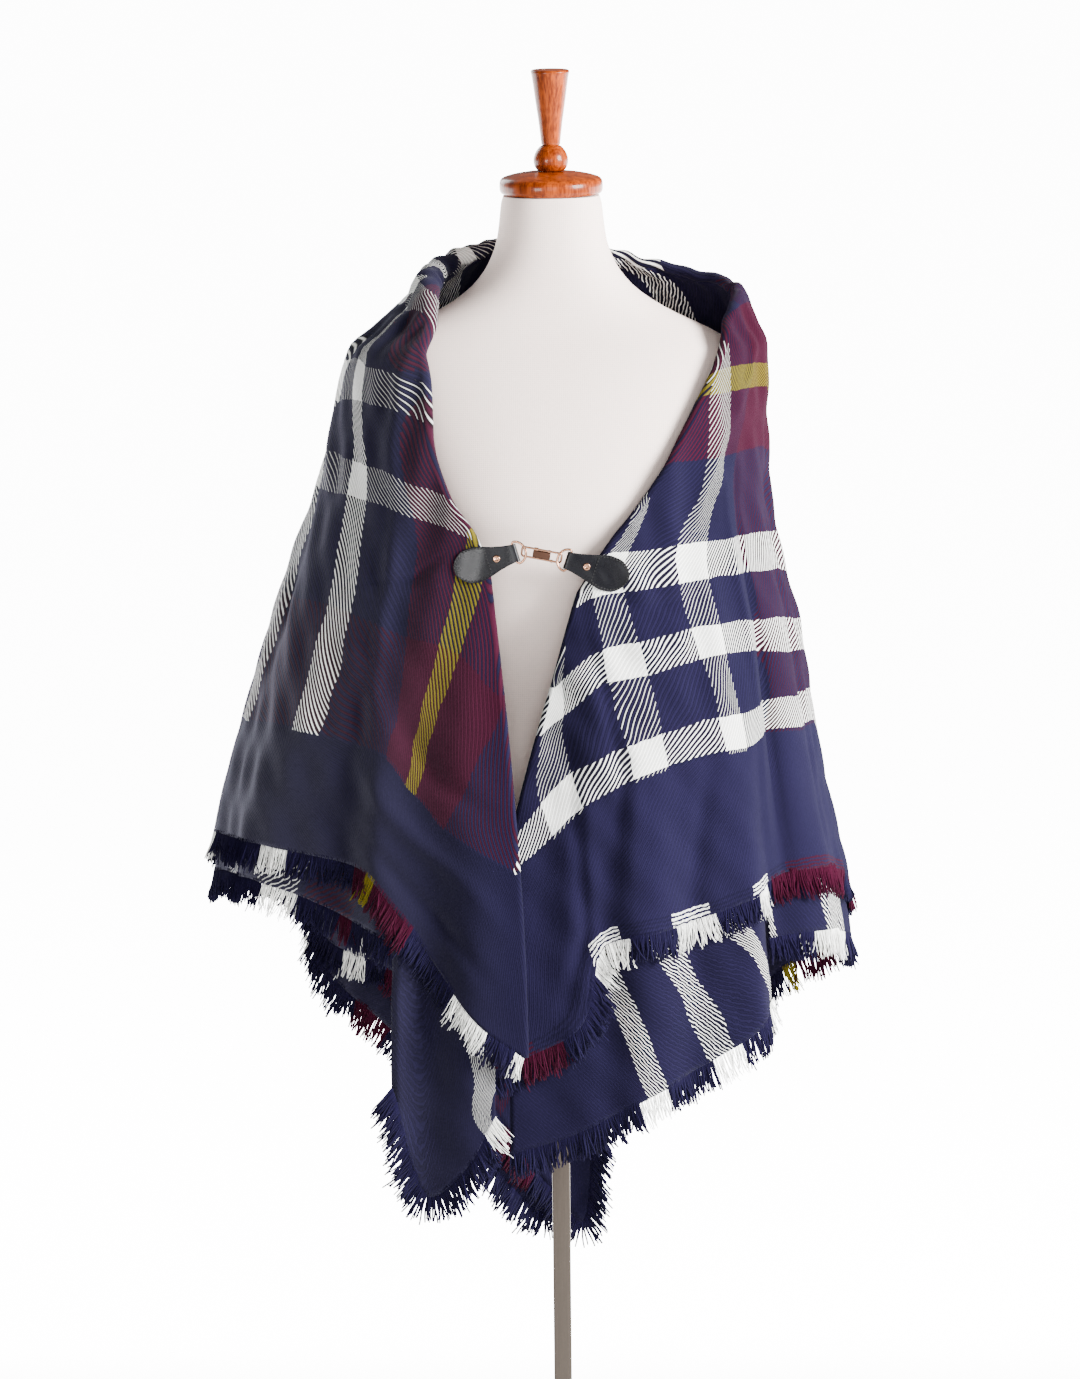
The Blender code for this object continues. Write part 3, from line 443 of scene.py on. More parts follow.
def oval(rings, left, right, turn, height, power=1.0, out=0.0):
    """A point of a level ring round the form: an ellipse, or squarer where the power is below 1."""
    angle = np.radians(turn)
    across, deep = (np.sign(v) * np.abs(v) ** power for v in (np.sin(angle), np.cos(angle)))
    side = np.where(across > 0, read(rings, left, height), read(rings, right, height))
    depth = np.where(deep > 0, read(rings, "front", height), read(rings, "back", height))
    return np.stack((-(side + out) * across, -(depth + out) * deep, height + 0 * angle), axis=-1)


def ring_point(turn, height):
    """A point of the cape's smooth outer face, before its folds."""
    return oval(CAPE_RINGS, "left", "right", turn, height)


def ring_normal(turn, height):
    """The direction out of that smooth face."""
    around = ring_point(turn + 0.5, height) - ring_point(turn - 0.5, height)
    upward = ring_point(turn, height + 0.004) - ring_point(turn, height - 0.004)
    return unit(np.cross(upward, around))


def fold_depth(turn, height):
    """How far the large folds stand out of the smooth face."""
    depth = np.zeros(np.broadcast(turn, height).shape)
    for fold in FOLDS:
        drop = ramp(0.0, 1.0, (fold.top - height) / (fold.top - FOLD_FULL_HEIGHT))
        away = turn - (fold.neck_turn + (fold.hem_turn - fold.neck_turn) * drop)
        width = np.where(away < 0, fold.before, fold.after)
        depth = depth + fold.depth * drop * np.exp(-((away / width) ** 2))
    return depth


def crease_depth(turn, height):
    """The smaller creases: each a soft trough or ridge along its own line."""
    depth = np.zeros(np.broadcast(turn, height).shape)
    for width, crest, *places in CREASES:
        line = np.array(places, dtype=float) * (DEGREE, MM)
        length = run_along(line)
        nearest = np.full(depth.shape, np.inf)
        along = np.zeros(depth.shape)
        for start, end, before in zip(line[:-1], line[1:], length[:-1]):
            stretch = end - start
            reach = np.linalg.norm(stretch)
            across, up = turn * DEGREE - start[0], height - start[1]
            part = np.clip((across * stretch[0] + up * stretch[1]) / reach**2, 0, 1)
            away = np.hypot(across - part * stretch[0], up - part * stretch[1])
            along = np.where(away < nearest, before + part * reach, along)
            nearest = np.minimum(away, nearest)
        faded = CREASE_START + (1 - 2 * CREASE_START) * along / length[-1]
        fade = np.sin(math.pi * np.clip(faded, 0, 1)) ** CREASE_FADE
        depth = depth + crest * MM * fade * np.exp(-((nearest / (width * MM)) ** 2))
    return depth


def ripple_depth(turn, height):
    """Low crossing waves, the slight unevenness of a soft blanket."""
    chance = np.random.default_rng(RIPPLE_SEED)
    depth = np.zeros(np.broadcast(turn, height).shape)
    for _ in range(RIPPLES):
        length = chance.uniform(*RIPPLE_LENGTH)
        heading = chance.uniform(*RIPPLE_HEADING)
        start = chance.uniform(0, 2 * math.pi)
        run = turn * DEGREE * math.cos(heading) + height * math.sin(heading)
        depth = depth + np.sin(2 * math.pi * run / length + start)
    return depth * RIPPLE_DEPTH


def overlap(turn):
    """How far a front steps in where it lies under the other one."""
    return OVERLAP_STEP * ramp(OVERLAP_START, OVERLAP_END, turn)


def drape(turn, height, inset=0.0):
    """A point of the cloth's outer face, inset by a distance towards the body."""
    out = fold_depth(turn, height) + crease_depth(turn, height) + ripple_depth(turn, height)
    out = out - inset - overlap(turn)
    return ring_point(turn, height) + ring_normal(turn, height) * np.expand_dims(out, -1)


def rib_place(hem, rib, part):
    """The turn and height of a point of a rib, which swings away from the fold and then hangs."""
    top = read(NECKLINE, "height", rib)
    height = top + (read(hem, "height", rib) - top) * part
    fallen = np.clip((top - height) / (top - HANG_HEIGHT), 0, 1)
    start = read(NECKLINE, "turn", rib)
    turn = start + (read(hem, "turn", rib) - start) * (1 - (1 - fallen) ** SWING_POWER)
    return turn, height


def inner_inset(rib, part):
    """The under layer leaves the roll at its far side and closes up to the outer layer."""
    at_roll = 2 * read(NECKLINE, "roll", rib) - CLOTH
    return at_roll + (LAYER_STEP - at_roll) * ramp(0.0, CLOSING_PART, part)


# Places on the flat square ------------------------------------------------------------------------


def line_rows(lines):
    """The places of a table of lines, each with its line's distance from the hem."""
    return [((turn, height * MM), across) for across, *places in lines for turn, height in places]


def plate(rows):
    """The smoothest field over (turn, height) that takes the value of each row at its place."""
    places = np.array([row[0] for row in rows], dtype=float) * (DEGREE, 1.0)
    values = np.array([row[1] for row in rows], dtype=float)

    def bend(points):
        gap = np.sum((points[:, None] - places[None]) ** 2, axis=-1)
        return gap * np.log(gap + 1e-12)

    count = len(places)
    flat = np.column_stack((np.ones(count), places))
    table = np.zeros((count + 3, count + 3))
    table[:count, :count] = bend(places) + np.eye(count) * PLATE_EASE
    table[:count, count:] = flat
    table[count:, :count] = flat.T
    weight = np.linalg.solve(table, np.concatenate((values, np.zeros(3))))

    def field(turn, height):
        turn, height = np.broadcast_arrays(turn, height)
        wanted = np.column_stack((turn.ravel() * DEGREE, height.ravel()))
        found = [
            bend(block) @ weight[:count] + weight[count] + block @ weight[count + 1 :]
            for block in np.array_split(wanted, max(1, len(wanted) // 2000))
        ]
        return np.concatenate(found).reshape(turn.shape)

    return field


def hem_run(rib):
    """Length of the outer hem between the tail and a rib, in metres."""
    steps = np.linspace(TAIL_RIB, rib, HEM_STEPS)
    points = ring_point(read(OUTER_HEM, "turn", steps), read(OUTER_HEM, "height", steps))
    return float(run_along(points)[-1])


def fold_square(turn):
    """The fold's place on the square, from the right hem and the left one, behind the neck."""
    first, last = BACK_FOLD
    share = (turn - first[0]) / (last[0] - first[0])
    return [start + (end - start) * share for start, end in zip(first[1:], last[1:])]


def outer_fields():
    """The outer layer's two fields: millimetres from the right hem and from the left hem."""
    fields = []
    for side, lines in enumerate((RIGHT_HEM_LINES, LEFT_HEM_LINES)):
        rows = line_rows(lines)
        for rib in range(*BACK_RIBS):
            top = fold_square(float(read(NECKLINE, "turn", rib)))[side]
            foot = hem_run(rib) * HEM_SPREAD if (rib < TAIL_RIB) == (side == 0) else 0.0
            for part in PINNED_PARTS:
                turn, height = rib_place(OUTER_HEM, rib, part)
                rows.append(((float(turn), float(height)), top + (foot - top) * part))
        for rib in range(BACK_RIBS[1], LAST_RIB + 1) if side == 0 else range(BACK_RIBS[0]):
            place = (float(read(OUTER_HEM, "turn", rib)), float(read(OUTER_HEM, "height", rib)))
            rows.append((place, 0.0))
        rows += [((turn, height * MM), across) for turn, height, across in TIPS[side]]
        fields.append(plate(rows))
    return fields


# Making cloth -------------------------------------------------------------------------------------


def only(piece):
    """Select one piece and make it the active one."""
    bpy.ops.object.select_all(action="DESELECT")
    piece.select_set(True)
    bpy.context.view_layer.objects.active = piece


def apply_all(piece):
    """Apply a piece's modifiers in their order."""
    only(piece)
    for modifier in list(piece.modifiers):
        bpy.ops.object.modifier_apply(modifier=modifier.name)


def mesh_object(name, points, faces):
    """A new piece from its points and faces, shaded smooth."""
    mesh = bpy.data.meshes.new(name)
    mesh.from_pydata(points.reshape(-1, 3).tolist(), [], faces)
    mesh.shade_smooth()
    piece = bpy.data.objects.new(name, mesh)
    bpy.context.collection.objects.link(piece)
    return piece


def claim(piece, finish, slot, *nodes):
    """Give a piece its finish and its body, and hide the nodes that it stands for. Its slot is not
    used.
    """
    piece.data.materials.clear()
    piece.data.materials.append(finish)
    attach(piece, "root")
    if nodes:
        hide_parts(*nodes)
    return piece


def grid_faces(rows, columns, first=0):
    """Corner numbers of the quads of a grid."""
    index = np.arange(rows * columns).reshape(rows, columns) + first
    quads = np.stack((index[:-1, :-1], index[:-1, 1:], index[1:, 1:], index[1:, :-1]), axis=-1)
    return quads.reshape(-1, 4)


def sheet_object(name, patches):
    """One sheet of cloth from patches of points and of their places on the square, welded."""
    points, flat, faces = [], [], []
    for place, square in patches:
        start = sum(len(block) for block in points)
        points.append(place.reshape(-1, 3))
        flat.append(square.reshape(-1, 2) / SQUARE)
        faces.append(grid_faces(*place.shape[:2], start))
    points, flat, faces = (np.concatenate(part) for part in (points, flat, faces))
    piece = mesh_object(name, points, faces.tolist())
    piece.data.uv_layers.new(name="flat_cloth").data.foreach_set("uv", flat[faces.ravel()].ravel())
    made = bmesh.new()
    made.from_mesh(piece.data)
    bmesh.ops.remove_doubles(made, verts=made.verts, dist=WELD)
    made.to_mesh(piece.data)
    made.free()
    piece.data.shade_smooth()
    solid = piece.modifiers.new("Thickness", "SOLIDIFY")
    solid.thickness, solid.offset, solid.use_quality_normals = CLOTH, -1.0, True
    apply_all(piece)
    return piece


def roll_patch(rib, part, square, lead):
    """The rolled edge along the fold, from the outer layer's boundary round to the under layer."""
    turn, height = rib_place(OUTER_HEM, rib, part)
    edge = drape(turn, height)
    normal = ring_normal(turn, height)
    inward = unit(np.cross(normal, np.gradient(edge, axis=0)))
    roll = read(NECKLINE, "roll", rib)[:, None]
    places, flats = [], []
    for angle in np.linspace(0, math.pi, ROLL_STEPS + 1):
        places.append(
            edge - normal * roll * (1 - math.cos(angle)) - inward * roll * math.sin(angle)
        )
        flats.append(square + lead * roll * angle)
    return np.array(places)[::-1], np.array(flats)[::-1]


def outer_patches(fields):
    """The outer layer's grid and the roll along its fold."""
    last = LAST_RIB * RIB_STEPS
    part, rib = np.meshgrid(
        np.linspace(0, 1, DROP_STEPS + 1), np.linspace(0, LAST_RIB, last + 1), indexing="ij"
    )
    turn, height = rib_place(OUTER_HEM, rib, part)
    points = drape(turn, height)
    square = np.stack([field(turn, height) for field in fields], axis=-1)
    # the boundary, from the left tip up the left edge, along the neck and down the right edge
    path = [(row, 0) for row in range(DROP_STEPS, 0, -1)]
    path += [(0, column) for column in range(last + 1)]
    path += [(row, last) for row in range(1, DROP_STEPS + 1)]
    rows, columns = np.array(path).T
    inside = (np.clip(rows, LEAD_REACH, None), np.clip(columns, LEAD_REACH, last - LEAD_REACH))
    away = np.linalg.norm(points[rows, columns] - points[inside], axis=-1, keepdims=True)
    lead = (square[rows, columns] - square[inside]) / np.maximum(away, LEAD_LEAST)
    even = np.ones(LEAD_STEPS) / LEAD_STEPS
    padded = np.pad(lead, ((LEAD_STEPS // 2, LEAD_STEPS // 2), (0, 0)), mode="edge")
    lead = np.stack([np.convolve(side, even, mode="valid") for side in padded.T], axis=-1)
    lead = np.clip(lead, -LEAD_MOST, LEAD_MOST)
    roll = roll_patch(rib[rows, columns], part[rows, columns], square[rows, columns], lead)
    return [(points, square), roll]


def under_patch(hem, columns, square_of, curl, fields):
    """A stretch of the under layer: its outward face, which gets its thickness towards the body."""
    part, rib = np.meshgrid(
        np.linspace(0, 1, UNDER_DROP_STEPS + 1),
        np.linspace(hem[0].rib, hem[-1].rib, columns + 1),
        indexing="ij",
    )
    turn, height = rib_place(hem, rib, part)
    inset = inner_inset(rib, part)
    if curl:
        free_edge, width = curl
        inset = inset + CURL * (1 - ramp(0.0, width, np.abs(rib - free_edge)))
    top = [field(turn[:1], height[:1]) for field in fields]
    return drape(turn, height, inset), np.stack(square_of(rib, part, turn, height, top), axis=-1)


def under_square(rib, part, turn, height, top):
    """The under layer's place on the square: its hems are the square's two far sides."""
    ribs = np.arange(LAST_RIB + 1)
    run = np.interp(rib[0], ribs, [hem_run(step) for step in ribs])
    along = SQUARE - np.minimum(run * HEM_SPREAD, SQUARE)
    right = rib[0] > TAIL_RIB
    foot = (np.where(right, along, SQUARE), np.where(right, SQUARE, along))
    return [start + (end - start) * part for start, end in zip(top, foot)]


def under_right_square(rib, part, turn, height, top):
    """The same for the right front, whose stripes run down to its hem."""
    return [plate(line_rows(UNDER_RIGHT_LINES))(turn, height), SQUARE - (1 - part) * FRONT_DROP]


def under_left_square(rib, part, turn, height, top):
    """The same for the left flap."""
    return [SQUARE - (1 - part) * FRONT_DROP, plate(line_rows(UNDER_LEFT_LINES))(turn, height)]


# The fringe ---------------------------------------------------------------------------------------


def fringe_headings(turn, height):
    """Which way the fringe hangs along a hem: half across the hem and half straight down."""
    around = ring_point(turn + 0.5, height) - ring_point(turn - 0.5, height)
    per_degree = np.linalg.norm(around, axis=-1)
    run, rise = np.gradient(turn) * per_degree, np.gradient(height)
    across = np.stack((rise, -run)) / np.maximum(np.hypot(run, rise), 1e-9)
    return unit((across + np.array([[0.0], [-1.0]])).T).T, per_degree


def tuft_colour(name, turn, colours):
    """The colour of a thread that leaves a hem at a turn."""
    for colour, patches in TUFTS[name].items():
        for first, last in patches:
            if first <= turn % 360 <= last or first <= turn <= last:
                return colours[colour]
    return colours["navy"]


def thread_paths(hem, first, last, inset, settings, chance):
    """The paths of a row of threads under a hem, and each one's turn and normal."""
    pitch = settings.thread_pitch
    fine = np.linspace(first, last, FINE_STEPS)
    turn, height = read(hem, "turn", fine), read(hem, "height", fine)
    length = run_along(drape(turn, height, inset))
    heading, per_degree = fringe_headings(turn, height)
    count = int(length[-1] / pitch)
    at = np.linspace(THREAD_ENDS, length[-1] - THREAD_ENDS, count)
    at = at + chance.uniform(*THREAD_JITTER, count) * pitch
    rib = np.interp(at, length, fine)
    start = (read(hem, "turn", rib), read(hem, "height", rib))
    side, down, wide = (np.interp(at, length, row) for row in (*heading, per_degree))
    # threads lean together in small tufts, each tuft a little its own way
    tuft = np.floor(at / (pitch * TUFT_THREADS)).astype(int)
    tufts = tuft.max() + 2
    middle = (tuft + 0.5) * pitch * TUFT_THREADS
    sway = chance.normal(0.0, TUFT_SWAY, tufts)[tuft]
    gather = (middle - at) * chance.uniform(*TUFT_GATHER, tufts)[tuft]
    stray = chance.normal(0.0, THREAD_STRAY, count)
    long = settings.fringe_length * chance.uniform(*TUFT_LENGTH, tufts)[tuft]
    long = long * chance.uniform(*THREAD_LENGTH, count)
    lift = chance.normal(0.0, THREAD_LIFT, count) + chance.normal(0.0, TUFT_LIFT, tufts)[tuft]
    wave = chance.uniform(0, 2 * math.pi, count)
    places = []
    for step in THREAD_STEPS:
        free = max(step, 0.0)
        aside = side * long * step + (sway + gather + stray) * free**THREAD_BEND
        size, turns = THREAD_WAVE
        aside = aside + size * np.sin(wave + turns * free) * free
        size, turns = THREAD_WAVE_OUT
        out = lift * free * 1.6 + size * np.sin(wave * 1.7 + turns * free) * free
        drop = down * long * step
        places.append(drape(start[0] + aside / wide, start[1] + drop, inset + CLOTH / 2 - out))
    return np.array(places).transpose(1, 0, 2), start[0], ring_normal(*start)


def thread_object(name, paths, normals, colours, thickness, chance):
    """A row of threads as one mesh: each a thin four sided tube that thins towards its tip."""
    count, steps = paths.shape[:2]
    ahead = unit(np.gradient(paths, axis=1))
    aside = unit(np.cross(ahead, normals[:, None]))
    over = np.cross(aside, ahead)
    radius = thickness / 2 * np.interp(np.linspace(0, 1, steps), (0, 0.5, 1), THREAD_RADIUS)
    radius = radius[None, :, None] * chance.uniform(*THREAD_THICK, count)[:, None, None]
    white = colours.min(axis=1) > 0.4   # only the white yarn is pale in all three parts
    radius = radius * np.where(white, WHITE_THREAD, 1.0)[:, None, None]
    rings = np.stack((aside, over, -aside, -over), axis=2) * radius[..., None] + paths[:, :, None]
    first = np.arange(count)[:, None, None] * steps * THREAD_SIDES
    near = first + np.arange(steps - 1)[None, :, None] * THREAD_SIDES
    far = near + THREAD_SIDES
    corner = np.arange(THREAD_SIDES)[None, None]
    after = (corner + 1) % THREAD_SIDES
    sides = np.stack((near + corner, far + corner, far + after, near + after), axis=-1)
    foot = first[:, 0] + np.arange(THREAD_SIDES)
    tip = foot[:, ::-1] + (steps - 1) * THREAD_SIDES
    faces = np.concatenate((sides.reshape(-1, 4), foot, tip))
    piece = mesh_object(name, rings, faces.tolist())
    shade = piece.data.color_attributes.new("thread_colour", "FLOAT_COLOR", "POINT")
    every = np.repeat(np.column_stack((colours, np.ones(count))), steps * THREAD_SIDES, axis=0)
    shade.data.foreach_set("color", every.ravel().astype(np.float32))
    return piece


# Finishes -----------------------------------------------------------------------------------------

YARN_WANDER = 0.0022          # how unevenly a stripe's edge runs, as a part of the square
PALE_SINKS = 0.17             # how much narrower a pale yarn's ribs are beside a dark yarn
UNDER_YARN_SHADE = 0.3              # how deep the yarn that lies underneath dips, as painted shade
FLUFF_AND_SHADE = 1.5                   # how soon the valleys darken where a pale yarn meets a dark one, and the most of it: partly the dark yarn's fluff over the pale one, partly painted shade
MOST_FLUFF_AND_SHADE = 0.95
NAP_FULL = -0.30              # from here to there across the cape the nap's haze fades
NAP_FADED = -0.05
NAP_STRONG = 6.0


def linear(code):
    """An sRGB hex colour as linear red, green and blue."""
    parts = [int(code[place : place + 2], 16) / 255 for place in (1, 3, 5)]
    return tuple(p / 12.92 if p <= 0.04045 else ((p + 0.055) / 1.055) ** 2.4 for p in parts)


def shade(colour, times, more=0.0):
    """A colour made lighter or darker."""
    return tuple(part * times + more for part in colour)


def add_node(tree, kind, *values, out=0, **named):
    """Add a shader node and give one of its outputs.

    A kind may end in the node's operation. Values go to its open sockets in order, and names with a
    capital to the sockets so named. Each is a constant or the output that feeds the socket. The
    other names are the node's own settings.
    """
    kind, _, operation = kind.partition(" ")
    made = tree.nodes.new("ShaderNode" + kind)
    if operation:
        made.operation = operation
    for name, value in named.items():
        if name[0].islower():
            setattr(made, name, value)
    fed = list(zip([socket for socket in made.inputs if socket.enabled], values))
    sockets = [name for name in named if name[0].isupper()]
    fed += [(made.inputs[name.replace("_", " ")], named[name]) for name in sockets]
    for socket, value in fed:
        if isinstance(value, bpy.types.NodeSocket):
            tree.links.new(value, socket)
        else:
            socket.default_value = value
    outputs = [socket for socket in made.outputs if socket.enabled]
    return outputs[out] if outputs else None


def new_finish(name, recipe, *values):
    """A material with one Principled shader, fed by what its recipe gives for the sockets."""
    finish = bpy.data.materials.new(name)
    finish.use_nodes = True
    finish.node_tree.nodes.clear()
    add = partial(add_node, finish.node_tree)
    place = add("TexCoord").node.outputs["Object"]
    add("OutputMaterial", Surface=add("BsdfPrincipled", **recipe(add, place, *values)))
    return finish


def surface(add, colour, rough, relief=None, **sockets):
    """The sockets that every finish feeds.

    The colour is an output, or a pattern and the two shades that it mixes. The roughness is a
    number, or a pattern and its range. The relief is a pattern, its strength and its depth.
    """
    if isinstance(colour, tuple):
        pattern, dark, pale = colour
        colour = add("Mix", pattern, (*dark, 1.0), (*pale, 1.0), data_type="RGBA")
    if isinstance(rough, tuple):
        rough = add("MapRange", rough[0], To_Min=rough[1], To_Max=rough[2])
    if relief:
        sockets["Normal"] = add("Bump", relief[1], relief[2], Height=relief[0])
    return {"Base_Color": colour, "Roughness": rough, "Metallic": 0.0, **sockets}


def yarn_colours(settings):
    """The four yarn colours by name."""
    names = ("navy", "burgundy", "mustard", "white")
    return {name: tuple(getattr(settings, name)) for name in names}


def stripe_ramp(add, place, rows, colours):
    """A colour for every place across the square, from the rows of a check."""
    made = add("ValToRGB", place)
    ramp_of = made.node.color_ramp
    ramp_of.interpolation = "CONSTANT"
    while len(ramp_of.elements) < len(rows):
        ramp_of.elements.new(1.0)
    for stop, (start, colour) in zip(ramp_of.elements, rows):
        stop.position, stop.color = start / SQUARE, (*colours[colour], 1.0)
    return made


def woven_wool(add, place, settings, checks, slant, share, skew, bordered):
    """Brushed twill blanket cloth of soft wool mix: slanting ribs, a dull face and a faint nap.

    Twill ribs are 2.4 mm apart on the cloth. They are drawn as far apart as the settings say, so
    that they still show at the size of the picture.
    """
    wander = add("TexNoise", place, Scale=160.0, Detail=1.0)
    wander = add("Math MULTIPLY", add("Math SUBTRACT", wander, 0.5), YARN_WANDER)
    flat = add("SeparateXYZ", add("UVMap", uv_map="flat_cloth")).node.outputs
    right = add("Math ADD", flat[0], wander)
    left = add("Math SUBTRACT", flat[1], wander)
    colours = yarn_colours(settings)
    warp, weft = (stripe_ramp(add, at, rows, colours) for at, rows in zip((right, left), checks))
    # the ribs of the twill: where the sum or difference of the two places repeats
    runs = add("Math ADD" if slant > 0 else "Math SUBTRACT", right, left)
    runs = add("Math MULTIPLY", runs, SQUARE * MM / settings.twill_pitch)
    # the cloth is pulled askew over the shoulders, which turns its ribs a little
    across = add("SeparateXYZ", place, out=1 if slant > 0 else 0)
    rib = add("Math FRACT", add("Math MULTIPLY_ADD", across, skew / settings.twill_pitch, runs))
    # a pale yarn beside a dark one sinks into the dark one's fluff and shows less of itself
    contrast = add("Math SUBTRACT", add("RGBToBW", warp), add("RGBToBW", weft))
    share = add("Math MULTIPLY_ADD", contrast, -PALE_SINKS, share)
    top = add("Math LESS_THAN", rib, share)
    # each rib is rounded, and painted shade makes it bright along its crown and dark where it dips
    # under the next one
    over = add("MapRange", rib, From_Max=share, To_Min=-1.0, clamp=False)
    under = add("MapRange", rib, From_Min=share, To_Min=-1.0, clamp=False)
    edge = add("Math ABSOLUTE", add("Mix", top, under, over))
    under_yarn_shade = add("Math MULTIPLY", add("Math SUBTRACT", 1.0, top), UNDER_YARN_SHADE)
    valley_shade = add("Math MAXIMUM", add("Math POWER", edge, 1.5), under_yarn_shade)
    crown = add("Math SUBTRACT", 1.0, add("Math POWER", edge, 3.0))
    if bordered:
        low = add("Math LESS_THAN", right, RIGHT_BORDER / SQUARE)
        side = add("Math LESS_THAN", left, LEFT_BORDER / SQUARE)
        # two picks beside the hem let the stripes through again
        pick = add("Math FRACT", add("Math MULTIPLY", right, SQUARE / PICK))
        near = add("Math LESS_THAN", right, PICKS_REACH / SQUARE)
        picks = add("Math MULTIPLY", add("Math GREATER_THAN", pick, 0.5), near)
        woven = add("Math SUBTRACT", 1.0, add("Math MAXIMUM", side, picks))
        top = add("Math MULTIPLY", add("Math MAXIMUM", top, low), woven)
        ribbed = add("Math SUBTRACT", 1.0, add("Math MAXIMUM", low, side))
        valley_shade = add("Math MULTIPLY", valley_shade, ribbed)
    yarn = add("Mix", top, weft, warp, data_type="RGBA")
    # where a pale yarn meets a dark one its valleys darken: partly the dark yarn's fluff, partly
    # painted shade
    fluff_and_shade_amount = add("Math MULTIPLY", add("Math ABSOLUTE", contrast), FLUFF_AND_SHADE)
    fluff_and_valley_shade = add("Math MULTIPLY", valley_shade, add("Math MINIMUM", fluff_and_shade_amount, MOST_FLUFF_AND_SHADE))
    # yarn of uneven dye, and a pale haze of loose fibre
    heather = add("TexNoise", place, Scale=900.0, Detail=2.0)
    cloud = add("TexNoise", place, Scale=14.0, Detail=3.0)
    dye = add("Math ADD", add("Math MULTIPLY", heather, 0.6), add("Math MULTIPLY", cloud, 0.3))
    # painted shade: each rib darker towards its edges, the yarn that lies underneath a quarter
    # darker, and the valleys darker where the colours differ
    rib_shade = add("Math MULTIPLY_ADD", crown, 0.5, 0.5)
    dye_and_shade = add("Math MULTIPLY", add("Math ADD", dye, 0.65), rib_shade)
    dye_and_shade = add("Math MULTIPLY", dye_and_shade, add("Math MULTIPLY_ADD", top, 0.25, 0.75))
    dye_and_shade = add("Math MULTIPLY", dye_and_shade, add("Math SUBTRACT", 1.0, fluff_and_valley_shade))
    grey = add("CombineXYZ", dye_and_shade, dye_and_shade, dye_and_shade)
    shaded = add("Mix", 1.0, yarn, grey, data_type="RGBA", blend_type="MULTIPLY")
    # the nap is brushed to one side, so it stands up to the light more on the viewer's left
    haze = (NAP_FULL, NAP_FADED, settings.sheen * NAP_STRONG, settings.sheen)
    nap = add("MapRange", add("SeparateXYZ", place), *haze)
    raised = add("Math ADD", add("Math MULTIPLY", crown, 0.5), add("Math MULTIPLY", heather, 0.6))
    return surface(
        add, shaded, (heather, 0.82, 1.0), (raised, 0.55, 0.0009), Specular_IOR_Level=0.0,
        Sheen_Weight=nap, Sheen_Roughness=0.6, Sheen_Tint=(0.85, 0.85, 1.0, 1.0),
    )


def loose_yarn(add, place, settings):
    """Cut and unravelled blanket yarn: dull, fuzzy, a little uneven along each thread."""
    fuzz = add("TexNoise", place, Scale=700.0, Detail=2.0)
    level = add("MapRange", fuzz, To_Min=0.65, To_Max=1.35)
    shaded = add("VectorMath SCALE", add("Attribute", attribute_name="thread_colour"), level)
    return surface(
        add, shaded, 0.9, (fuzz, 0.4, 0.0004), Specular_IOR_Level=0.0,
        Sheen_Weight=settings.sheen * 0.6, Sheen_Roughness=0.5,
    )


def plain_linen(add, place, settings):
    """Natural linen stretched over padding: plain weave with slubs, matt and warm white.

    Its threads are 0.6 mm apart and are drawn 2 mm apart so that they show.
    """
    warp, weft = (
        add(
            "TexWave", add("Mapping", place, Rotation=(0.0, turn, 0.0)),
            Scale=160.0, Distortion=1.2, Detail=1.0, Detail_Scale=3.0, out=1,
        )
        for turn in (0.0, math.pi / 2)
    )
    slub = add("TexNoise", place, Scale=260.0, Detail=3.0)
    weave = add("Math ADD", add("Math MAXIMUM", warp, weft), slub)
    blend = add("MapRange", weave, 0.4, 1.5)
    return surface(
        add, (blend, shade(settings.linen, 0.86), settings.linen), (slub, 0.78, 0.95),
        (weave, 0.22, 0.0005), Specular_IOR_Level=0.15, Sheen_Weight=0.08, Sheen_Roughness=0.5,
    )


def varnished_beech(add, place, settings):
    """Turned beech under amber varnish: long grain up the piece, fine flecks, a hard wet gloss."""
    grain = add("Mapping", place, Scale=(1.0, 1.0, 0.12))
    streak = add("TexNoise", grain, Scale=140.0, Detail=5.0, Distortion=0.4)
    fleck = add("TexNoise", grain, Scale=620.0, Detail=2.0)
    tone = add("ValToRGB", add("Math MULTIPLY", streak, fleck))
    stops = tone.node.color_ramp.elements
    stops[0].position, stops[0].color = 0.14, (*settings.wood_dark, 1.0)
    stops[1].position, stops[1].color = 0.36, (*settings.wood, 1.0)
    return surface(
        add, tone, (streak, 0.24, 0.40), (streak, 0.08, 0.0003),
        Specular_IOR_Level=0.1, Coat_Weight=0.12, Coat_Roughness=0.05,
    )


def lined_metal(add, place, colour, rough, stretch, scale):
    """A drawn or polished metal with faint lines: stretch lays them along one axis."""
    lines = add("TexNoise", add("Mapping", place, Scale=stretch), Scale=scale, Detail=4.0)
    return surface(
        add, (lines, shade(colour, 0.78), colour), (lines, rough * 0.75, rough * 1.35),
        (lines, 0.06, 0.0002), Metallic=1.0,
    )


def coated_leather(add, place, colour, rough):
    """Split leather with a pressed black coating: fine pebbled grain and a soft sheen.

    The pebbles are 0.4 mm across and are drawn 0.7 mm across.
    """
    pebble = add("TexVoronoi", place, Scale=1400.0, feature="SMOOTH_F1")
    scuff = add("TexNoise", place, Scale=90.0, Detail=4.0)
    return surface(
        add, (scuff, colour, shade(colour, 1.5, 0.0005)), (scuff, rough * 0.93, rough * 1.1),
        (pebble, 0.25, 0.0003), Specular_IOR_Level=0.13,
    )


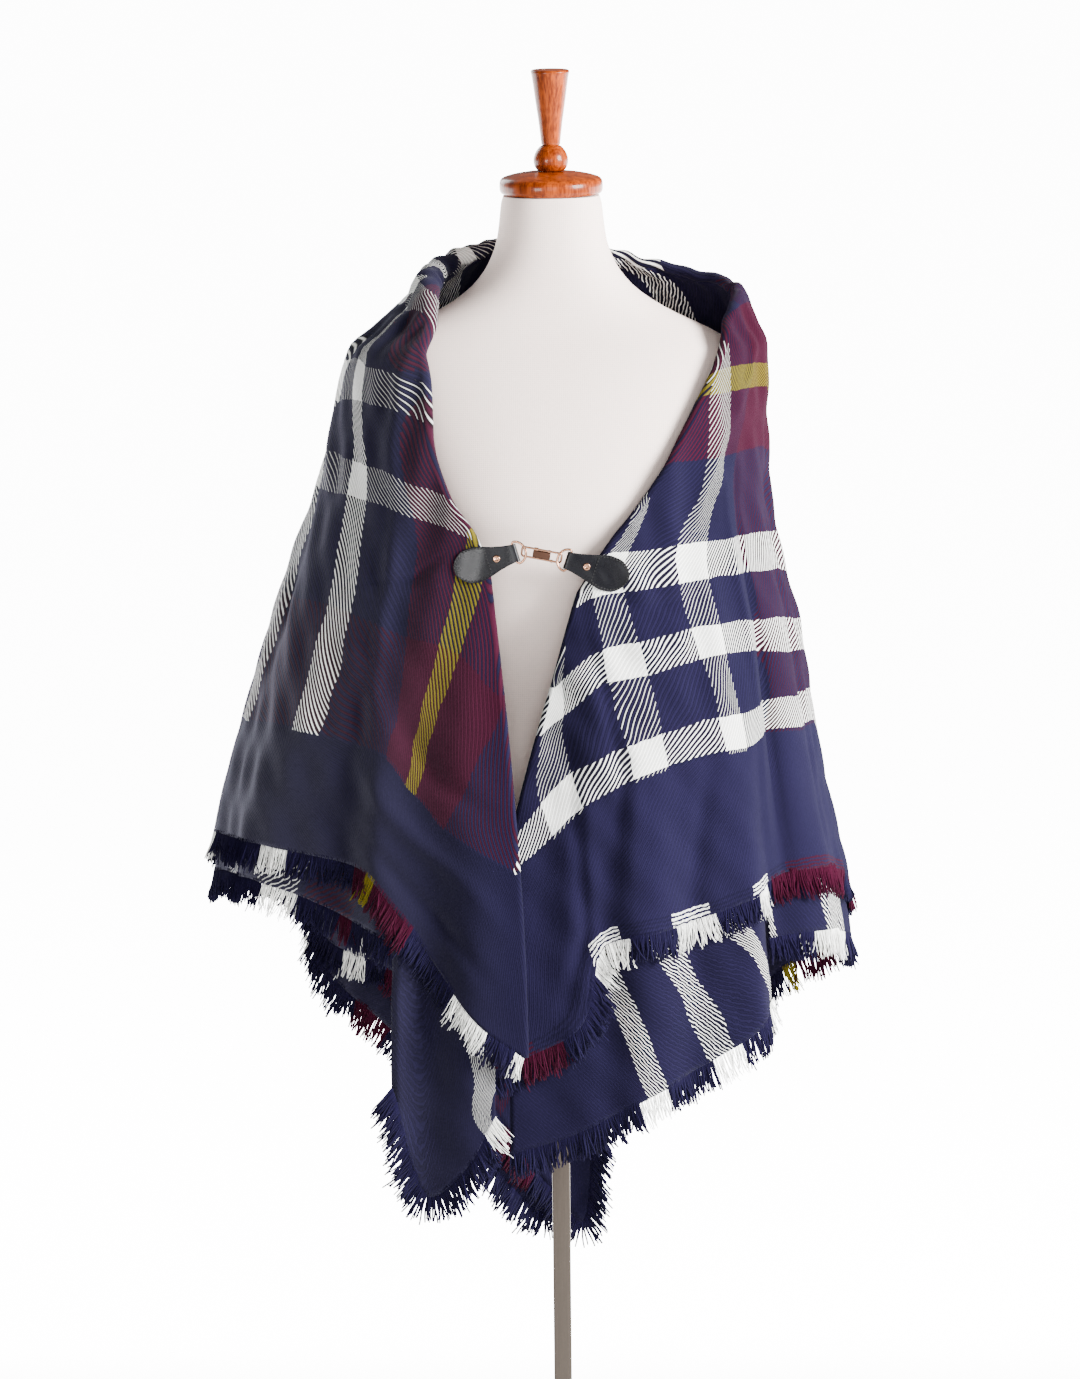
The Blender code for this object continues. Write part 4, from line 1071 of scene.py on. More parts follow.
def waxed_thread(add, place, settings):
    """Black waxed sewing thread: round, tight and faintly shiny."""
    ply = add("TexNoise", place, Scale=1800.0, Detail=2.0)
    tone = (ply, settings.stitch, shade(settings.stitch, 1.5, 0.0005))
    return surface(add, tone, 0.45, (ply, 0.3, 0.0002), Specular_IOR_Level=0.2)


def studio_white(add, place, settings):
    """Matt white painted studio floor, very slightly uneven. Behind the form the floor itself
    glows: painted light, with no lamp there.
    """
    depth = add("SeparateXYZ", place, out=1)
    # the floor's painted glow rises from nothing in front of the form to full strength behind it
    rise = (0.35, 1.1, 0.0, settings.glow)
    cloud = add("TexNoise", place, Scale=1.5, Detail=2.0)
    return surface(
        add, (cloud, shade(settings.floor, 0.985), settings.floor), (cloud, 0.8, 0.95),
        Emission_Color=(1.0, 1.0, 1.0, 1.0),
        Emission_Strength=add("MapRange", depth, *rise, interpolation_type="SMOOTHSTEP"),
    )


# Sizes and tables of the form, the stand and the clasp --------------------------------------------

SEAM = 0.0003                 # the gap between pieces that touch
BASE_THICK = 0.010
POLE_SIDE = 0.019
POLE_ROUNDING = 0.0015
FORM_BOTTOM = 0.800
FORM_TOP = 1.540
BODY_SQUARENESS = 2.3
BODY_COLUMNS = 128
BODY_ROWS = 96
BODY_SEAMS = (90.0, 180.0, 270.0)   # side seams and the seam down the back
BODY_SEAM_WIDTH = 0.0022
BODY_SEAM_DEPTH = 0.0008
BODY_FOOT_ROUND = (0.004, 0.004)    # how far its edges are rounded in, and over what height
BODY_TOP_ROUND = (0.0015, 0.003)
TURNED_COLUMNS = 96
BASE_COLUMNS = 128
EYELET_COLUMNS = 32
CAP_RADIUS = 0.0535
CAP_THICK = 0.017
CAP_DOME = 0.006
CAP_TILT = math.radians(2.0)
BEAD_HEIGHT = 0.026

LEATHER = 0.0018
TAB_LENGTH = 0.064
TAB_END_WIDTH = 0.018
TAB_UNDER = 0.013
TAB_STEPS = 44                # steps along a tab, across it, and round the ring's bar
TAB_COLUMNS = 12
LOOP_STEPS = 12
CUT_EDGE = 0.0004             # rounding of the leather's cut edge
RIVET_PLACE = 0.019
RIVET_LIFT = 0.0001
RING_WIRE = 0.0013
RING_HEIGHT = 0.0225
RING_REACH = 0.0115
RING_CORNER = 0.0015
LOOP_INSIDE = RING_WIRE + SEAM + 0.0001
HOOK_WIRE = 0.0011
HOOK_HEIGHT = 0.0115
HOOK_CORNER = 0.003
HOOK_TILT = math.radians(28.0)
# Collars on the hook's frame: place along it, top or bottom wire, radius and half length.
COLLARS = ((-0.35, 1, 0.0017, 0.0022), (0.42, 1, 0.0016, 0.0012), (0.62, -1, 0.0016, 0.0012))
GATE_LENGTH = 0.018
GATE_THICK = 0.003
GATE_ROUNDING = 0.0009
STITCH_PITCH = 0.0034
STITCH_LENGTH = 0.0023
STITCH_RADIUS = 0.0006
STITCH_INSET = 0.0022
STITCH_STANDS = 0.35          # how much of its radius a stitch's middle stands off the leather
CROSS_STITCH_PART = 0.56      # where the line of stitches closes across the tab

FLOOR_SIZE = 150.0
LIGHT_TARGET = Vector((0.0, 0.0, 1.1))
# Soft lights: name, the setting for its power, place and size.
LIGHTS = (
    ("key_light", "key", (3.5, -1.9, 2.6), 1.8),
    ("front_light", "fill", (0.2, -5.0, 1.9), 2.0),
    ("back_light", "back", (-1.9, 2.7, 2.6), 2.0),
    ("gleam_card", "gleam", (-2.3, -4.1, 1.5), 1.3),
)
CAMERA_TARGET = Vector((-0.017, 0.0, 1.022))
SENSOR_WIDTH = 36.0
FAR_CLIP = 100.0

BODY_RINGS = metres(
    "height half front back", 0,
    (800, 160, 114, 118), (830, 165, 120, 124), (890, 162, 120, 120), (960, 140, 107, 100),
    (1030, 121, 98, 85), (1100, 130, 112, 91), (1170, 150, 130, 101), (1220, 166, 134, 108),
    (1270, 182, 126, 111), (1320, 193, 110, 106), (1355, 197, 94, 96), (1378, 192, 80, 84),
    (1392, 178, 70, 74), (1404, 156, 62, 67), (1416, 130, 56, 62), (1430, 105, 53, 60),
    (1448, 82, 52, 58), (1470, 66, 53, 57), (1495, 57, 53, 55), (1540, 51.5, 51.5, 51.5),
)
# Turned profiles, from the foot of each piece up its outer side.
PROFILE = "radius height"
CAP_PROFILE = metres(
    PROFILE, 0,
    (49.5, 0), (51.5, 0.6), (52.7, 2), (53.4, 4.5), (53.5, 8.5), (53.3, 11.5), (52.6, 13.8),
    (51.2, 15.6), (49, 16.8), (44, 18.4), (38, 19.8), (30, 21.2), (20, 22.3), (10, 22.9),
)
BEAD_PROFILE = metres(
    PROFILE, 0,
    (12.8, 0), (15, 1.6), (16.8, 4.5), (17.8, 8), (18, 11), (17.6, 14.2), (16.5, 17.6),
    (14.8, 20.8), (13, 23.2), (11.2, 25), (9.5, 26),
)
HANDLE_PROFILE = metres(
    PROFILE, 0,
    (8.8, 0), (9.8, 1.2), (10, 3.5), (10.5, 8), (11.4, 16), (12.6, 26), (14.1, 36), (15.8, 48),
    (17.4, 60), (18.8, 70), (19.6, 74), (20, 75.7), (19.6, 76.9), (18.5, 77.6), (15, 77.9),
)
BASE_PROFILE = metres(
    PROFILE, 0,
    (154, 0), (155, 0.8), (155, 5.8), (154.2, 7.8), (152.7, 9.2), (150.8, 10), (20, 10),
)
RIVET_PROFILE = metres(
    PROFILE, 0,
    (3.8, 0), (3.8, 0.3), (3.5, 0.8), (2.9, 1.2), (2.3, 1.2), (1.8, 0.7), (1.4, 0.5), (0.8, 0.6),
)

Tab = namedtuple("Tab", "side bar_x bar_height lean")
TABS = (Tab("left", -0.0415, 1.1890, -17.0), Tab("right", 0.0135, 1.1810, -19.0))
# How wide a tab is, part of the way from its round end to the ring.
Width = namedtuple("Width", "part width")
TAB_WIDTHS = (
    Width(0.00, 0.006), Width(0.03, 0.014), Width(0.10, 0.025), Width(0.22, 0.034),
    Width(0.38, 0.036), Width(0.52, 0.032), Width(0.68, 0.026), Width(0.85, 0.021),
    Width(1.00, TAB_END_WIDTH),
)


# Making hard pieces -------------------------------------------------------------------------------


def added(name, operator, **values):
    """A new object from one of the add operators, selected alone."""
    bpy.ops.object.select_all(action="DESELECT")
    operator(**values)
    piece = bpy.context.object
    piece.name = piece.data.name = name
    return piece


@contextmanager
def editing(piece):
    """Work on the whole of a piece's mesh in edit mode."""
    only(piece)
    bpy.ops.object.mode_set(mode="EDIT")
    bpy.ops.mesh.select_all(action="SELECT")
    yield
    bpy.ops.object.mode_set(mode="OBJECT")


def smooth(piece, degrees):
    """Shade a piece smooth but for its sharp edges."""
    only(piece)
    bpy.ops.object.shade_smooth_by_angle(angle=math.radians(degrees))
    return piece


def put(piece, matrix):
    """Move a finished piece to its place, and apply the place to its mesh."""
    piece.matrix_world = matrix @ piece.matrix_world
    only(piece)
    bpy.ops.object.transform_apply(location=True, rotation=True, scale=True)
    return piece


def turned(name, profile, columns):
    """A piece turned from its foot upwards: a disc, extruded and scaled ring by ring."""
    foot = profile[0]
    piece = added(
        name, bpy.ops.mesh.primitive_circle_add, vertices=columns, radius=foot.radius,
        fill_type="NGON", location=(0, 0, foot.height),
    )
    with editing(piece):
        for before, ring in zip(profile[:-1], profile[1:]):
            rise = {"value": (0, 0, ring.height - before.height)}
            bpy.ops.mesh.extrude_region_move(TRANSFORM_OT_translate=rise)
            wider = ring.radius / before.radius
            top = (0, 0, ring.height)
            bpy.ops.transform.resize(value=(wider, wider, 1), center_override=top)
        bpy.ops.mesh.select_all(action="SELECT")
        bpy.ops.mesh.normals_make_consistent(inside=False)
    return smooth(piece, 40)


def bar(name, size, rounding, matrix):
    """A bar with rounded edges, added at its size and bevelled."""
    piece = added(name, bpy.ops.mesh.primitive_cube_add, size=1.0, scale=size)
    bpy.ops.object.transform_apply(location=False, rotation=False, scale=True)
    with editing(piece):
        bpy.ops.mesh.bevel(offset=rounding, segments=3, affect="EDGES")
    return put(smooth(piece, 40), matrix)


def bent_wire(name, points, radius, closed=True):
    """A wire bent through points, as a mesh."""
    curve = bpy.data.curves.new(name, "CURVE")
    curve.dimensions = "3D"
    curve.bevel_depth, curve.bevel_resolution, curve.use_fill_caps = radius, 5, True
    spline = curve.splines.new("POLY")
    spline.points.add(len(points) - 1)
    for target, point in zip(spline.points, points):
        target.co = (*point, 1.0)
    spline.use_cyclic_u = closed
    wire = bpy.data.objects.new(name, curve)
    bpy.context.collection.objects.link(wire)
    only(wire)
    bpy.ops.object.convert(target="MESH")
    bpy.context.object.data.name = name
    return smooth(bpy.context.object, 60)


def joined(name, pieces):
    """Several pieces as one mesh."""
    only(pieces[0])
    for piece in pieces:
        piece.select_set(True)
    bpy.ops.object.join()
    pieces[0].name = pieces[0].data.name = name
    return pieces[0]


def facing(point, ahead):
    """A frame at a point whose Z axis looks ahead."""
    return Matrix.Translation(point) @ Vector(ahead).to_track_quat("Z", "Y").to_matrix().to_4x4()


def on_cape(x, height, out):
    """A point over the draped face at a given place seen from the front."""
    side = float(read(CAPE_RINGS, "left" if x < 0 else "right", height))
    turn = -math.degrees(math.asin(x / side)) % 360
    return Vector(drape(np.array(turn), np.array(height), -out - float(overlap(turn))))


def tab_point(tab, distance, sideways, out):
    """A point at a distance from the ring's bar towards the tab's round end."""
    lean = math.radians(tab.lean)
    along_x = math.cos(lean) * (-1 if tab.side == "left" else 1)
    along_z = math.sin(lean)
    x = tab.bar_x + along_x * distance - along_z * sideways
    return on_cape(x, tab.bar_height + along_z * distance + along_x * sideways, out)


def leather_tab(tab):
    """A leather tab: flat on the cloth, folded round the ring's bar and back under itself."""
    path = []
    for part in np.linspace(0, 1, TAB_STEPS) ** 1.5:
        path.append((TAB_LENGTH * (1 - part), SEAM, float(read(TAB_WIDTHS, "width", part))))
    for swing in np.radians(np.linspace(20, 180, LOOP_STEPS)):
        sunk = SEAM - LOOP_INSIDE * (1 - math.cos(swing))
        path.append((-LOOP_INSIDE * math.sin(swing), sunk, TAB_END_WIDTH))
    for share in (0.4, 0.7, 1.0):
        path.append((share * TAB_UNDER, SEAM - 2 * LOOP_INSIDE, TAB_END_WIDTH))
    last = len(path) - 1
    piece = added(
        "leather_tab_" + tab.side, bpy.ops.mesh.primitive_grid_add,
        x_subdivisions=TAB_COLUMNS, y_subdivisions=last, size=1.0,
    )
    for vertex in piece.data.vertices:
        distance, out, width = path[round((vertex.co.y + 0.5) * last)]
        vertex.co = tab_point(tab, distance, width * vertex.co.x, out)
    piece.data.update()
    if piece.data.polygons[len(piece.data.polygons) // 3].normal.y > 0:
        with editing(piece):
            bpy.ops.mesh.flip_normals()
    solid = piece.modifiers.new("Thickness", "SOLIDIFY")
    solid.thickness, solid.offset, solid.material_offset_rim = LEATHER, 1.0, 1
    edge = piece.modifiers.new("Cut edge", "BEVEL")
    edge.width, edge.segments, edge.angle_limit = CUT_EDGE, 2, math.radians(50)
    apply_all(piece)
    return smooth(piece, 50)


def stitch_line(tab):
    """Places of the stitches inside a tab's round end, closed by a line across."""
    sides = []
    for part in np.linspace(CROSS_STITCH_PART, 0.0, 60):
        half = float(read(TAB_WIDTHS, "width", part)) / 2 - STITCH_INSET
        sides.append((min(TAB_LENGTH * (1 - part), TAB_LENGTH - STITCH_INSET), max(half, 0.0)))
    outline = sides + [(distance, -half) for distance, half in reversed(sides)] + [sides[0]]
    out = SEAM + LEATHER + STITCH_RADIUS * STITCH_STANDS
    spots = np.array([tuple(tab_point(tab, distance, side, out)) for distance, side in outline])
    length = run_along(spots)
    count = round(length[-1] / STITCH_PITCH)
    for at in (np.arange(count) + 0.5) * length[-1] / count:
        yield [
            Vector([np.interp(at + off, length, axis) for axis in spots.T])
            for off in (-0.0005, 0.0005)
        ]


def stitches(tab):
    """The row of stitches: one short length of thread, copied to every place."""
    ball = bpy.ops.mesh.primitive_uv_sphere_add
    first = added("stitch", ball, segments=8, ring_count=6, radius=STITCH_RADIUS)
    with editing(first):
        longer = STITCH_LENGTH / 2 / STITCH_RADIUS
        bpy.ops.transform.resize(value=(1, 1, longer), center_override=(0, 0, 0))
    bpy.ops.object.shade_smooth()
    copies = []
    for start, end in stitch_line(tab):
        copy = bpy.data.objects.new("stitch", first.data.copy())
        bpy.context.collection.objects.link(copy)
        copies.append(put(copy, facing((start + end) / 2, end - start)))
    bpy.data.objects.remove(first)
    return joined("stitching_" + tab.side, copies)


def ring_points(tab):
    """A D-ring: its straight bar in the leather and its bow towards the hook."""
    half = RING_HEIGHT / 2
    bow = RING_REACH - RING_CORNER
    straight = (RING_CORNER - half, -half / 2, 0.0, half / 2, half - RING_CORNER)
    outline = [(0.0, sideways) for sideways in straight]
    for angle in np.linspace(math.pi / 2, -math.pi / 2, 33):
        outline.append((-RING_CORNER - bow * math.cos(angle), half * math.sin(angle)))
    return [tab_point(tab, distance, side, SEAM - LOOP_INSIDE) for distance, side in outline]


def hook_place():
    """The hook's middle, its directions along it and up its face, and its length."""
    inside = -RING_REACH + 2 * RING_WIRE + HOOK_WIRE
    ends = [tab_point(tab, inside, 0.0, SEAM - LOOP_INSIDE) for tab in TABS]
    reach = (ends[1] - ends[0]).normalized()
    upright = Vector((0, -1, 0)).cross(reach).normalized()
    tilted = Matrix.Rotation(HOOK_TILT, 3, reach) @ upright
    return (ends[0] + ends[1]) / 2, reach, tilted, (ends[1] - ends[0]).length


# Settings -----------------------------------------------------------------------------------------


def colour(name, description, code):
    return FloatVectorProperty(
        name=name, description=description, subtype="COLOR", size=3, min=0.0, max=1.0,
        default=linear(code),
    )


def number(name, description, default, **kind):
    return FloatProperty(name=name, description=description, default=default, **kind)


class ClothSettings(bpy.types.PropertyGroup):
    """Yarn colours and sizes of the blanket."""

    navy: colour("Navy", "Ground yarn", "#120F23")
    burgundy: colour("Burgundy", "Wide stripe yarn", "#2A0918")
    mustard: colour("Mustard", "Narrow stripe yarn", "#554C12")
    white: colour("White", "Pale stripe yarn", "#E0E0DC")
    twill_pitch: number(
        "Twill spacing", "Distance between twill ribs along a yarn", 0.0064, unit="LENGTH"
    )
    sheen: number("Nap", "Strength of the haze of loose fibre", 0.03, subtype="FACTOR")
    fringe_length: number(
        "Fringe length", "Length of the unravelled ends", 0.034, unit="LENGTH"
    )
    thread_pitch: number(
        "Thread spacing", "Distance between fringe threads", 0.0017, unit="LENGTH"
    )
    thread_size: number(
        "Thread thickness", "Thickness of a fringe thread", 0.0021, unit="LENGTH"
    )
    seed: IntProperty(name="Seed", description="Start of the random lie of the fringe", default=7)


class FormSettings(bpy.types.PropertyGroup):
    """Finishes of the dress form and its stand."""

    linen: colour("Linen", "Cover of the body", "#E7D4CB")
    wood: colour("Wood", "Light grain of the varnished wood", "#8E3A06")
    wood_dark: colour("Wood grain", "Dark grain of the varnished wood", "#521A02")
    steel: colour("Steel", "Pole and base", "#4D4640")
    fill: number("Padding", "How tightly the body is stuffed", 0.95, subtype="FACTOR")


class ClaspSettings(bpy.types.PropertyGroup):
    """Finishes of the clasp."""

    leather: colour("Leather", "Face of the tabs", "#060609")
    edge: colour("Cut edge", "Cut edge of the leather", "#35312F")
    stitch: colour("Stitching", "Sewing thread", "#030303")
    gold: colour("Rose gold", "Rings, rivets and hook", "#97705A")
    gate: colour("Gate", "Flat gate of the hook", "#4A342A")


class StageSettings(bpy.types.PropertyGroup):
    """Camera, floor and light."""

    floor: colour("Floor", "Studio floor", "#FAFAFA")
    distance: number("Distance", "Camera to the form", 5.5, unit="LENGTH")
    elevation: number("Elevation", "Camera above the level", math.radians(9.7), subtype="ANGLE")
    roll: number("Roll", "Lean of the camera", math.radians(-0.61), subtype="ANGLE")
    lens: number("Lens", "Focal length in millimetres", 174.6)
    key: number("Key light", "Light from the viewer's right", 1300.0, unit="POWER")
    fill: number("Front light", "Soft light from the viewer", 105.0, unit="POWER")
    back: number("Back light", "Light from behind", 150.0, unit="POWER")
    gleam: number("Gleam card", "White card seen in the leather", 220.0, unit="POWER")
    glow: number("Backdrop light", "Light on the floor behind the form", 13.0)
    sky: number("Room light", "Even light from all sides", 0.30)


# Operators ----------------------------------------------------------------------------------------


class CAPE_OT_linen_body(bpy.types.Operator):
    """Add the padded linen body of the dress form"""

    bl_idname = "cape.linen_body"
    bl_label = "Linen body"

    def execute(self, context):
        settings = context.scene.cape_form
        turn = np.linspace(0, 360, BODY_COLUMNS, endpoint=False)
        height = np.linspace(FORM_BOTTOM, FORM_TOP, BODY_ROWS)
        height, turn = np.meshgrid(height, turn, indexing="ij")
        half = read(BODY_RINGS, "half", height)
        seam = sum(
            np.exp(-((np.radians(turn - at) * half / BODY_SEAM_WIDTH) ** 2)) for at in BODY_SEAMS
        )
        out = -BODY_SEAM_DEPTH * seam
        for (depth, over), away in (
            (BODY_FOOT_ROUND, height - FORM_BOTTOM), (BODY_TOP_ROUND, FORM_TOP - height),
        ):
            out = out - depth * np.exp(-(away / over))
        points = oval(BODY_RINGS, "half", "half", turn, height, 2 / BODY_SQUARENESS, out)
        index = np.arange(BODY_ROWS * BODY_COLUMNS).reshape(BODY_ROWS, BODY_COLUMNS)
        ahead = np.roll(index, -1, axis=1)
        faces = np.stack((index[:-1], index[1:], ahead[1:], ahead[:-1]), axis=-1)
        faces = faces.reshape(-1, 4).tolist() + [index[0].tolist(), index[-1][::-1].tolist()]
        body = mesh_object("linen_body", points, faces)
        with editing(body):
            bpy.ops.mesh.normals_make_consistent(inside=False)
        smooth(body, 60)
        claim(body, new_finish("Plain_linen", plain_linen, settings), "linen", "form_torso")
        return {"FINISHED"}


class CAPE_OT_neck_cap(bpy.types.Operator):
    """Add the turned wooden neck cap, bead and handle"""

    bl_idname = "cape.neck_cap"
    bl_label = "Neck cap and finial"

    def execute(self, context):
        wood = new_finish("Varnished_beech", varnished_beech, context.scene.cape_form)
        foot = FORM_TOP + SEAM + CAP_RADIUS * math.sin(CAP_TILT)
        tilt = Matrix.Translation((0, 0, foot)) @ Matrix.Rotation(CAP_TILT, 4, "X")
        bead_foot = CAP_THICK + CAP_DOME + SEAM
        for name, profile, lift in (
            ("neck_cap", CAP_PROFILE, 0.0),
            ("finial_bead", BEAD_PROFILE, bead_foot),
            ("finial_handle", HANDLE_PROFILE, bead_foot + BEAD_HEIGHT + SEAM),
        ):
            piece = turned("turned_" + name, profile, TURNED_COLUMNS)
            put(piece, tilt @ Matrix.Translation((0, 0, lift)))
            claim(piece, wood, "varnished_wood", name)
        return {"FINISHED"}


class CAPE_OT_stand(bpy.types.Operator):
    """Add the square pole and the round base"""

    bl_idname = "cape.stand"
    bl_label = "Pole and base"

    def execute(self, context):
        look = (tuple(context.scene.cape_form.steel), 0.34, (1.0, 1.0, 0.03), 900.0)
        steel = new_finish("Brushed_steel", lined_metal, *look)
        foot = BASE_THICK + SEAM
        length = FORM_BOTTOM - SEAM - foot
        size = (POLE_SIDE, POLE_SIDE, length)
        middle = Matrix.Translation((0, 0, foot + length / 2))
        claim(bar("square_pole", size, POLE_ROUNDING, middle), steel, "steel", "stand_pole")
        base = turned("round_base", BASE_PROFILE, BASE_COLUMNS)
        claim(base, steel, "steel", "stand_base")
        return {"FINISHED"}


class CAPE_OT_outer_layer(bpy.types.Operator):
    """Add the outer layer of the folded blanket with its rolled collar and front edges"""

    bl_idname = "cape.outer_layer"
    bl_label = "Outer layer"

    def execute(self, context):
        piece = sheet_object("blanket_outer_layer", outer_patches(outer_fields()))
        look = ((RIGHT_HEM_CHECK, LEFT_HEM_CHECK), 1, 0.62, -0.5, True)
        finish = new_finish("Brushed_twill_face", woven_wool, context.scene.cape_cloth, *look)
        claim(
            piece, finish, "woven_navy", "outer_front_left", "outer_back", "outer_front_right",
            "fold_left", "fold_neck", "fold_right",
        )
        return {"FINISHED"}


class CAPE_OT_under_layer(bpy.types.Operator):
    """Add the under layer of the folded blanket"""

    bl_idname = "cape.under_layer"
    bl_label = "Under layer"

    def execute(self, context):
        fields = outer_fields()
        checks = (UNDER_RIGHT_CHECK, UNDER_LEFT_CHECK)
        front, rear = (
            new_finish(name, woven_wool, context.scene.cape_cloth, checks, -1, 0.52, skew, False)
            for name, skew in (("Brushed_twill_reverse", 0.5), ("Brushed_twill_reverse_back", -0.4))
        )
        for name, hem, columns, square_of, curl, finish, nodes in (
            ("front_left", INNER_HEMS["inner_front_left"], 42, under_left_square, (3, 0.25),
             front, ["inner_front_left"]),
            ("back", UNDER_BACK_HEM, 170, under_square, None,
             rear, UNDER_BACK),
            ("front_right", INNER_HEMS["inner_front_right"], 52, under_right_square, (20, 0.2),
             front, ["inner_front_right"]),
        ):
            patch = under_patch(hem, columns, square_of, curl, fields)
            piece = sheet_object("blanket_under_" + name, [patch])
            claim(piece, finish, "woven_navy", *nodes)
        return {"FINISHED"}


class CAPE_OT_fringe(bpy.types.Operator):
    """Add the fringe under every hem, thread by thread"""

    bl_idname = "cape.fringe"
    bl_label = "Fringe"

    def execute(self, context):
        settings = context.scene.cape_cloth
        colours = yarn_colours(settings)
        yarn = new_finish("Loose_blanket_yarn", loose_yarn, settings)
        chance = np.random.default_rng(settings.seed)
        hems = [
            ("outer_front_left", OUTER_HEM, 0, 8, 0.0),
            ("outer_back", OUTER_HEM, 8, 17, 0.0),
            ("outer_front_right", OUTER_HEM, 17, LAST_RIB, 0.0),
        ]
        hems += [
            (name, hem, hem[0].rib, hem[-1].rib, LAYER_STEP) for name, hem in INNER_HEMS.items()
        ]
        for name, *place in hems:
            rows = [thread_paths(*place, settings, chance) for _ in range(THREAD_ROWS)]
            paths, turn, normals = (np.concatenate(part) for part in zip(*rows))
            shades = np.array([tuft_colour(name, at, colours) for at in turn])
            shades = shades * chance.uniform(*THREAD_SHADE, len(turn))[:, None]
            size = settings.thread_size
            piece = thread_object("threads_" + name, paths, normals, shades, size, chance)
            claim(piece, yarn, "woven_navy", "fringe_" + name)
        return {"FINISHED"}


class CAPE_OT_cloth_facts(bpy.types.Operator):
    """Go through each sheet's flat size, area and fringe threads, and keep nothing"""

    bl_idname = "cape.cloth_facts"
    bl_label = "Cloth facts"

    def execute(self, context):
        side = SQUARE / 1000
        for name, flat, area, threads in (
            ("outer_layer", (side, side), side * side / 2,
             ["outer_front_left", "outer_back", "outer_front_right"]),
            ("under_front_left", (0.20, 0.62), 0.075, ["inner_front_left"]),
            ("under_back", (1.15, 1.15), 0.800, UNDER_BACK),
            ("under_front_right", (0.36, 0.66), 0.160, ["inner_front_right"]),
        ):
            ["threads_" + piece for piece in threads]
        return {"FINISHED"}


class CAPE_OT_leather_tabs(bpy.types.Operator):
    """Add both leather tabs with their stitching, eyelets and rings"""

    bl_idname = "cape.leather_tabs"
    bl_label = "Leather tabs"

    def execute(self, context):
        settings = context.scene.cape_clasp
        face, cut, rose = (tuple(getattr(settings, name)) for name in ("leather", "edge", "gold"))
        leather = new_finish("Coated_split_leather", coated_leather, face, 0.27)
        edge = new_finish("Cut_leather_edge", coated_leather, cut, 0.7)
        thread = new_finish("Waxed_thread", waxed_thread, settings)
        look = (rose, 0.22, (1.0, 1.0, 1.0), 500.0)
        gold = new_finish("Polished_rose_gold", lined_metal, *look)
        for tab in TABS:
            piece = claim(leather_tab(tab), leather, "black_leather", "tab_" + tab.side)
            piece.data.materials.append(edge)
            claim(stitches(tab), thread, "black_leather")
            base, tip = (
                tab_point(tab, RIVET_PLACE, 0.0, SEAM + LEATHER + lift)
                for lift in (RIVET_LIFT, 0.002)
            )
            rivet = turned("eyelet_" + tab.side, RIVET_PROFILE, EYELET_COLUMNS)
            put(rivet, facing(base, tip - base))
            claim(rivet, gold, "rose_gold", "rivet_" + tab.side)
            ring = bent_wire("d_ring_" + tab.side, ring_points(tab), RING_WIRE)
            claim(ring, gold, "rose_gold", "ring_" + tab.side)
        return {"FINISHED"}


class CAPE_OT_hook(bpy.types.Operator):
    """Add the hook between the rings: its frame, collars and gate"""

    bl_idname = "cape.hook"
    bl_label = "Hook"

    def execute(self, context):
        gold = bpy.data.materials["Polished_rose_gold"]
        middle, reach, tilted, length = hook_place()
        straight, rise = length / 2 - HOOK_CORNER, HOOK_HEIGHT / 2 - HOOK_CORNER
        outline = []
        for quarter, (side, level) in enumerate(((1, 1), (-1, 1), (-1, -1), (1, -1))):
            for angle in np.radians(90 * quarter + np.linspace(0, 90, 8)):
                along = side * straight + HOOK_CORNER * math.cos(angle)
                up = level * rise + HOOK_CORNER * math.sin(angle)
                outline.append(middle + reach * along + tilted * up)
        wires = [bent_wire("hook_wire", outline, HOOK_WIRE)]
        for along, level, radius, half in COLLARS:
            place = middle + reach * straight * along + tilted * level * (rise + HOOK_CORNER)
            stops = [place + reach * half * part for part in (-1.0, -0.4, 0.4, 1.0)]
            wires.append(bent_wire("collar", stops, radius, False))
        claim(joined("hook_frame_wire", wires), gold, "rose_gold", "hook_frame")
        look = (tuple(context.scene.cape_clasp.gate), 0.2, (0.2, 1.0, 1.0), 700.0)
        dark = new_finish("Dark_rose_gold", lined_metal, *look)
        turn = Matrix((reach, tilted, reach.cross(tilted))).transposed().to_4x4()
        size = (GATE_LENGTH, HOOK_HEIGHT - 2 * (HOOK_WIRE + SEAM), GATE_THICK)
        gate = bar("flat_gate", size, GATE_ROUNDING, Matrix.Translation(middle) @ turn)
        claim(gate, dark, "dark_rose_gold", "hook_gate")
        return {"FINISHED"}


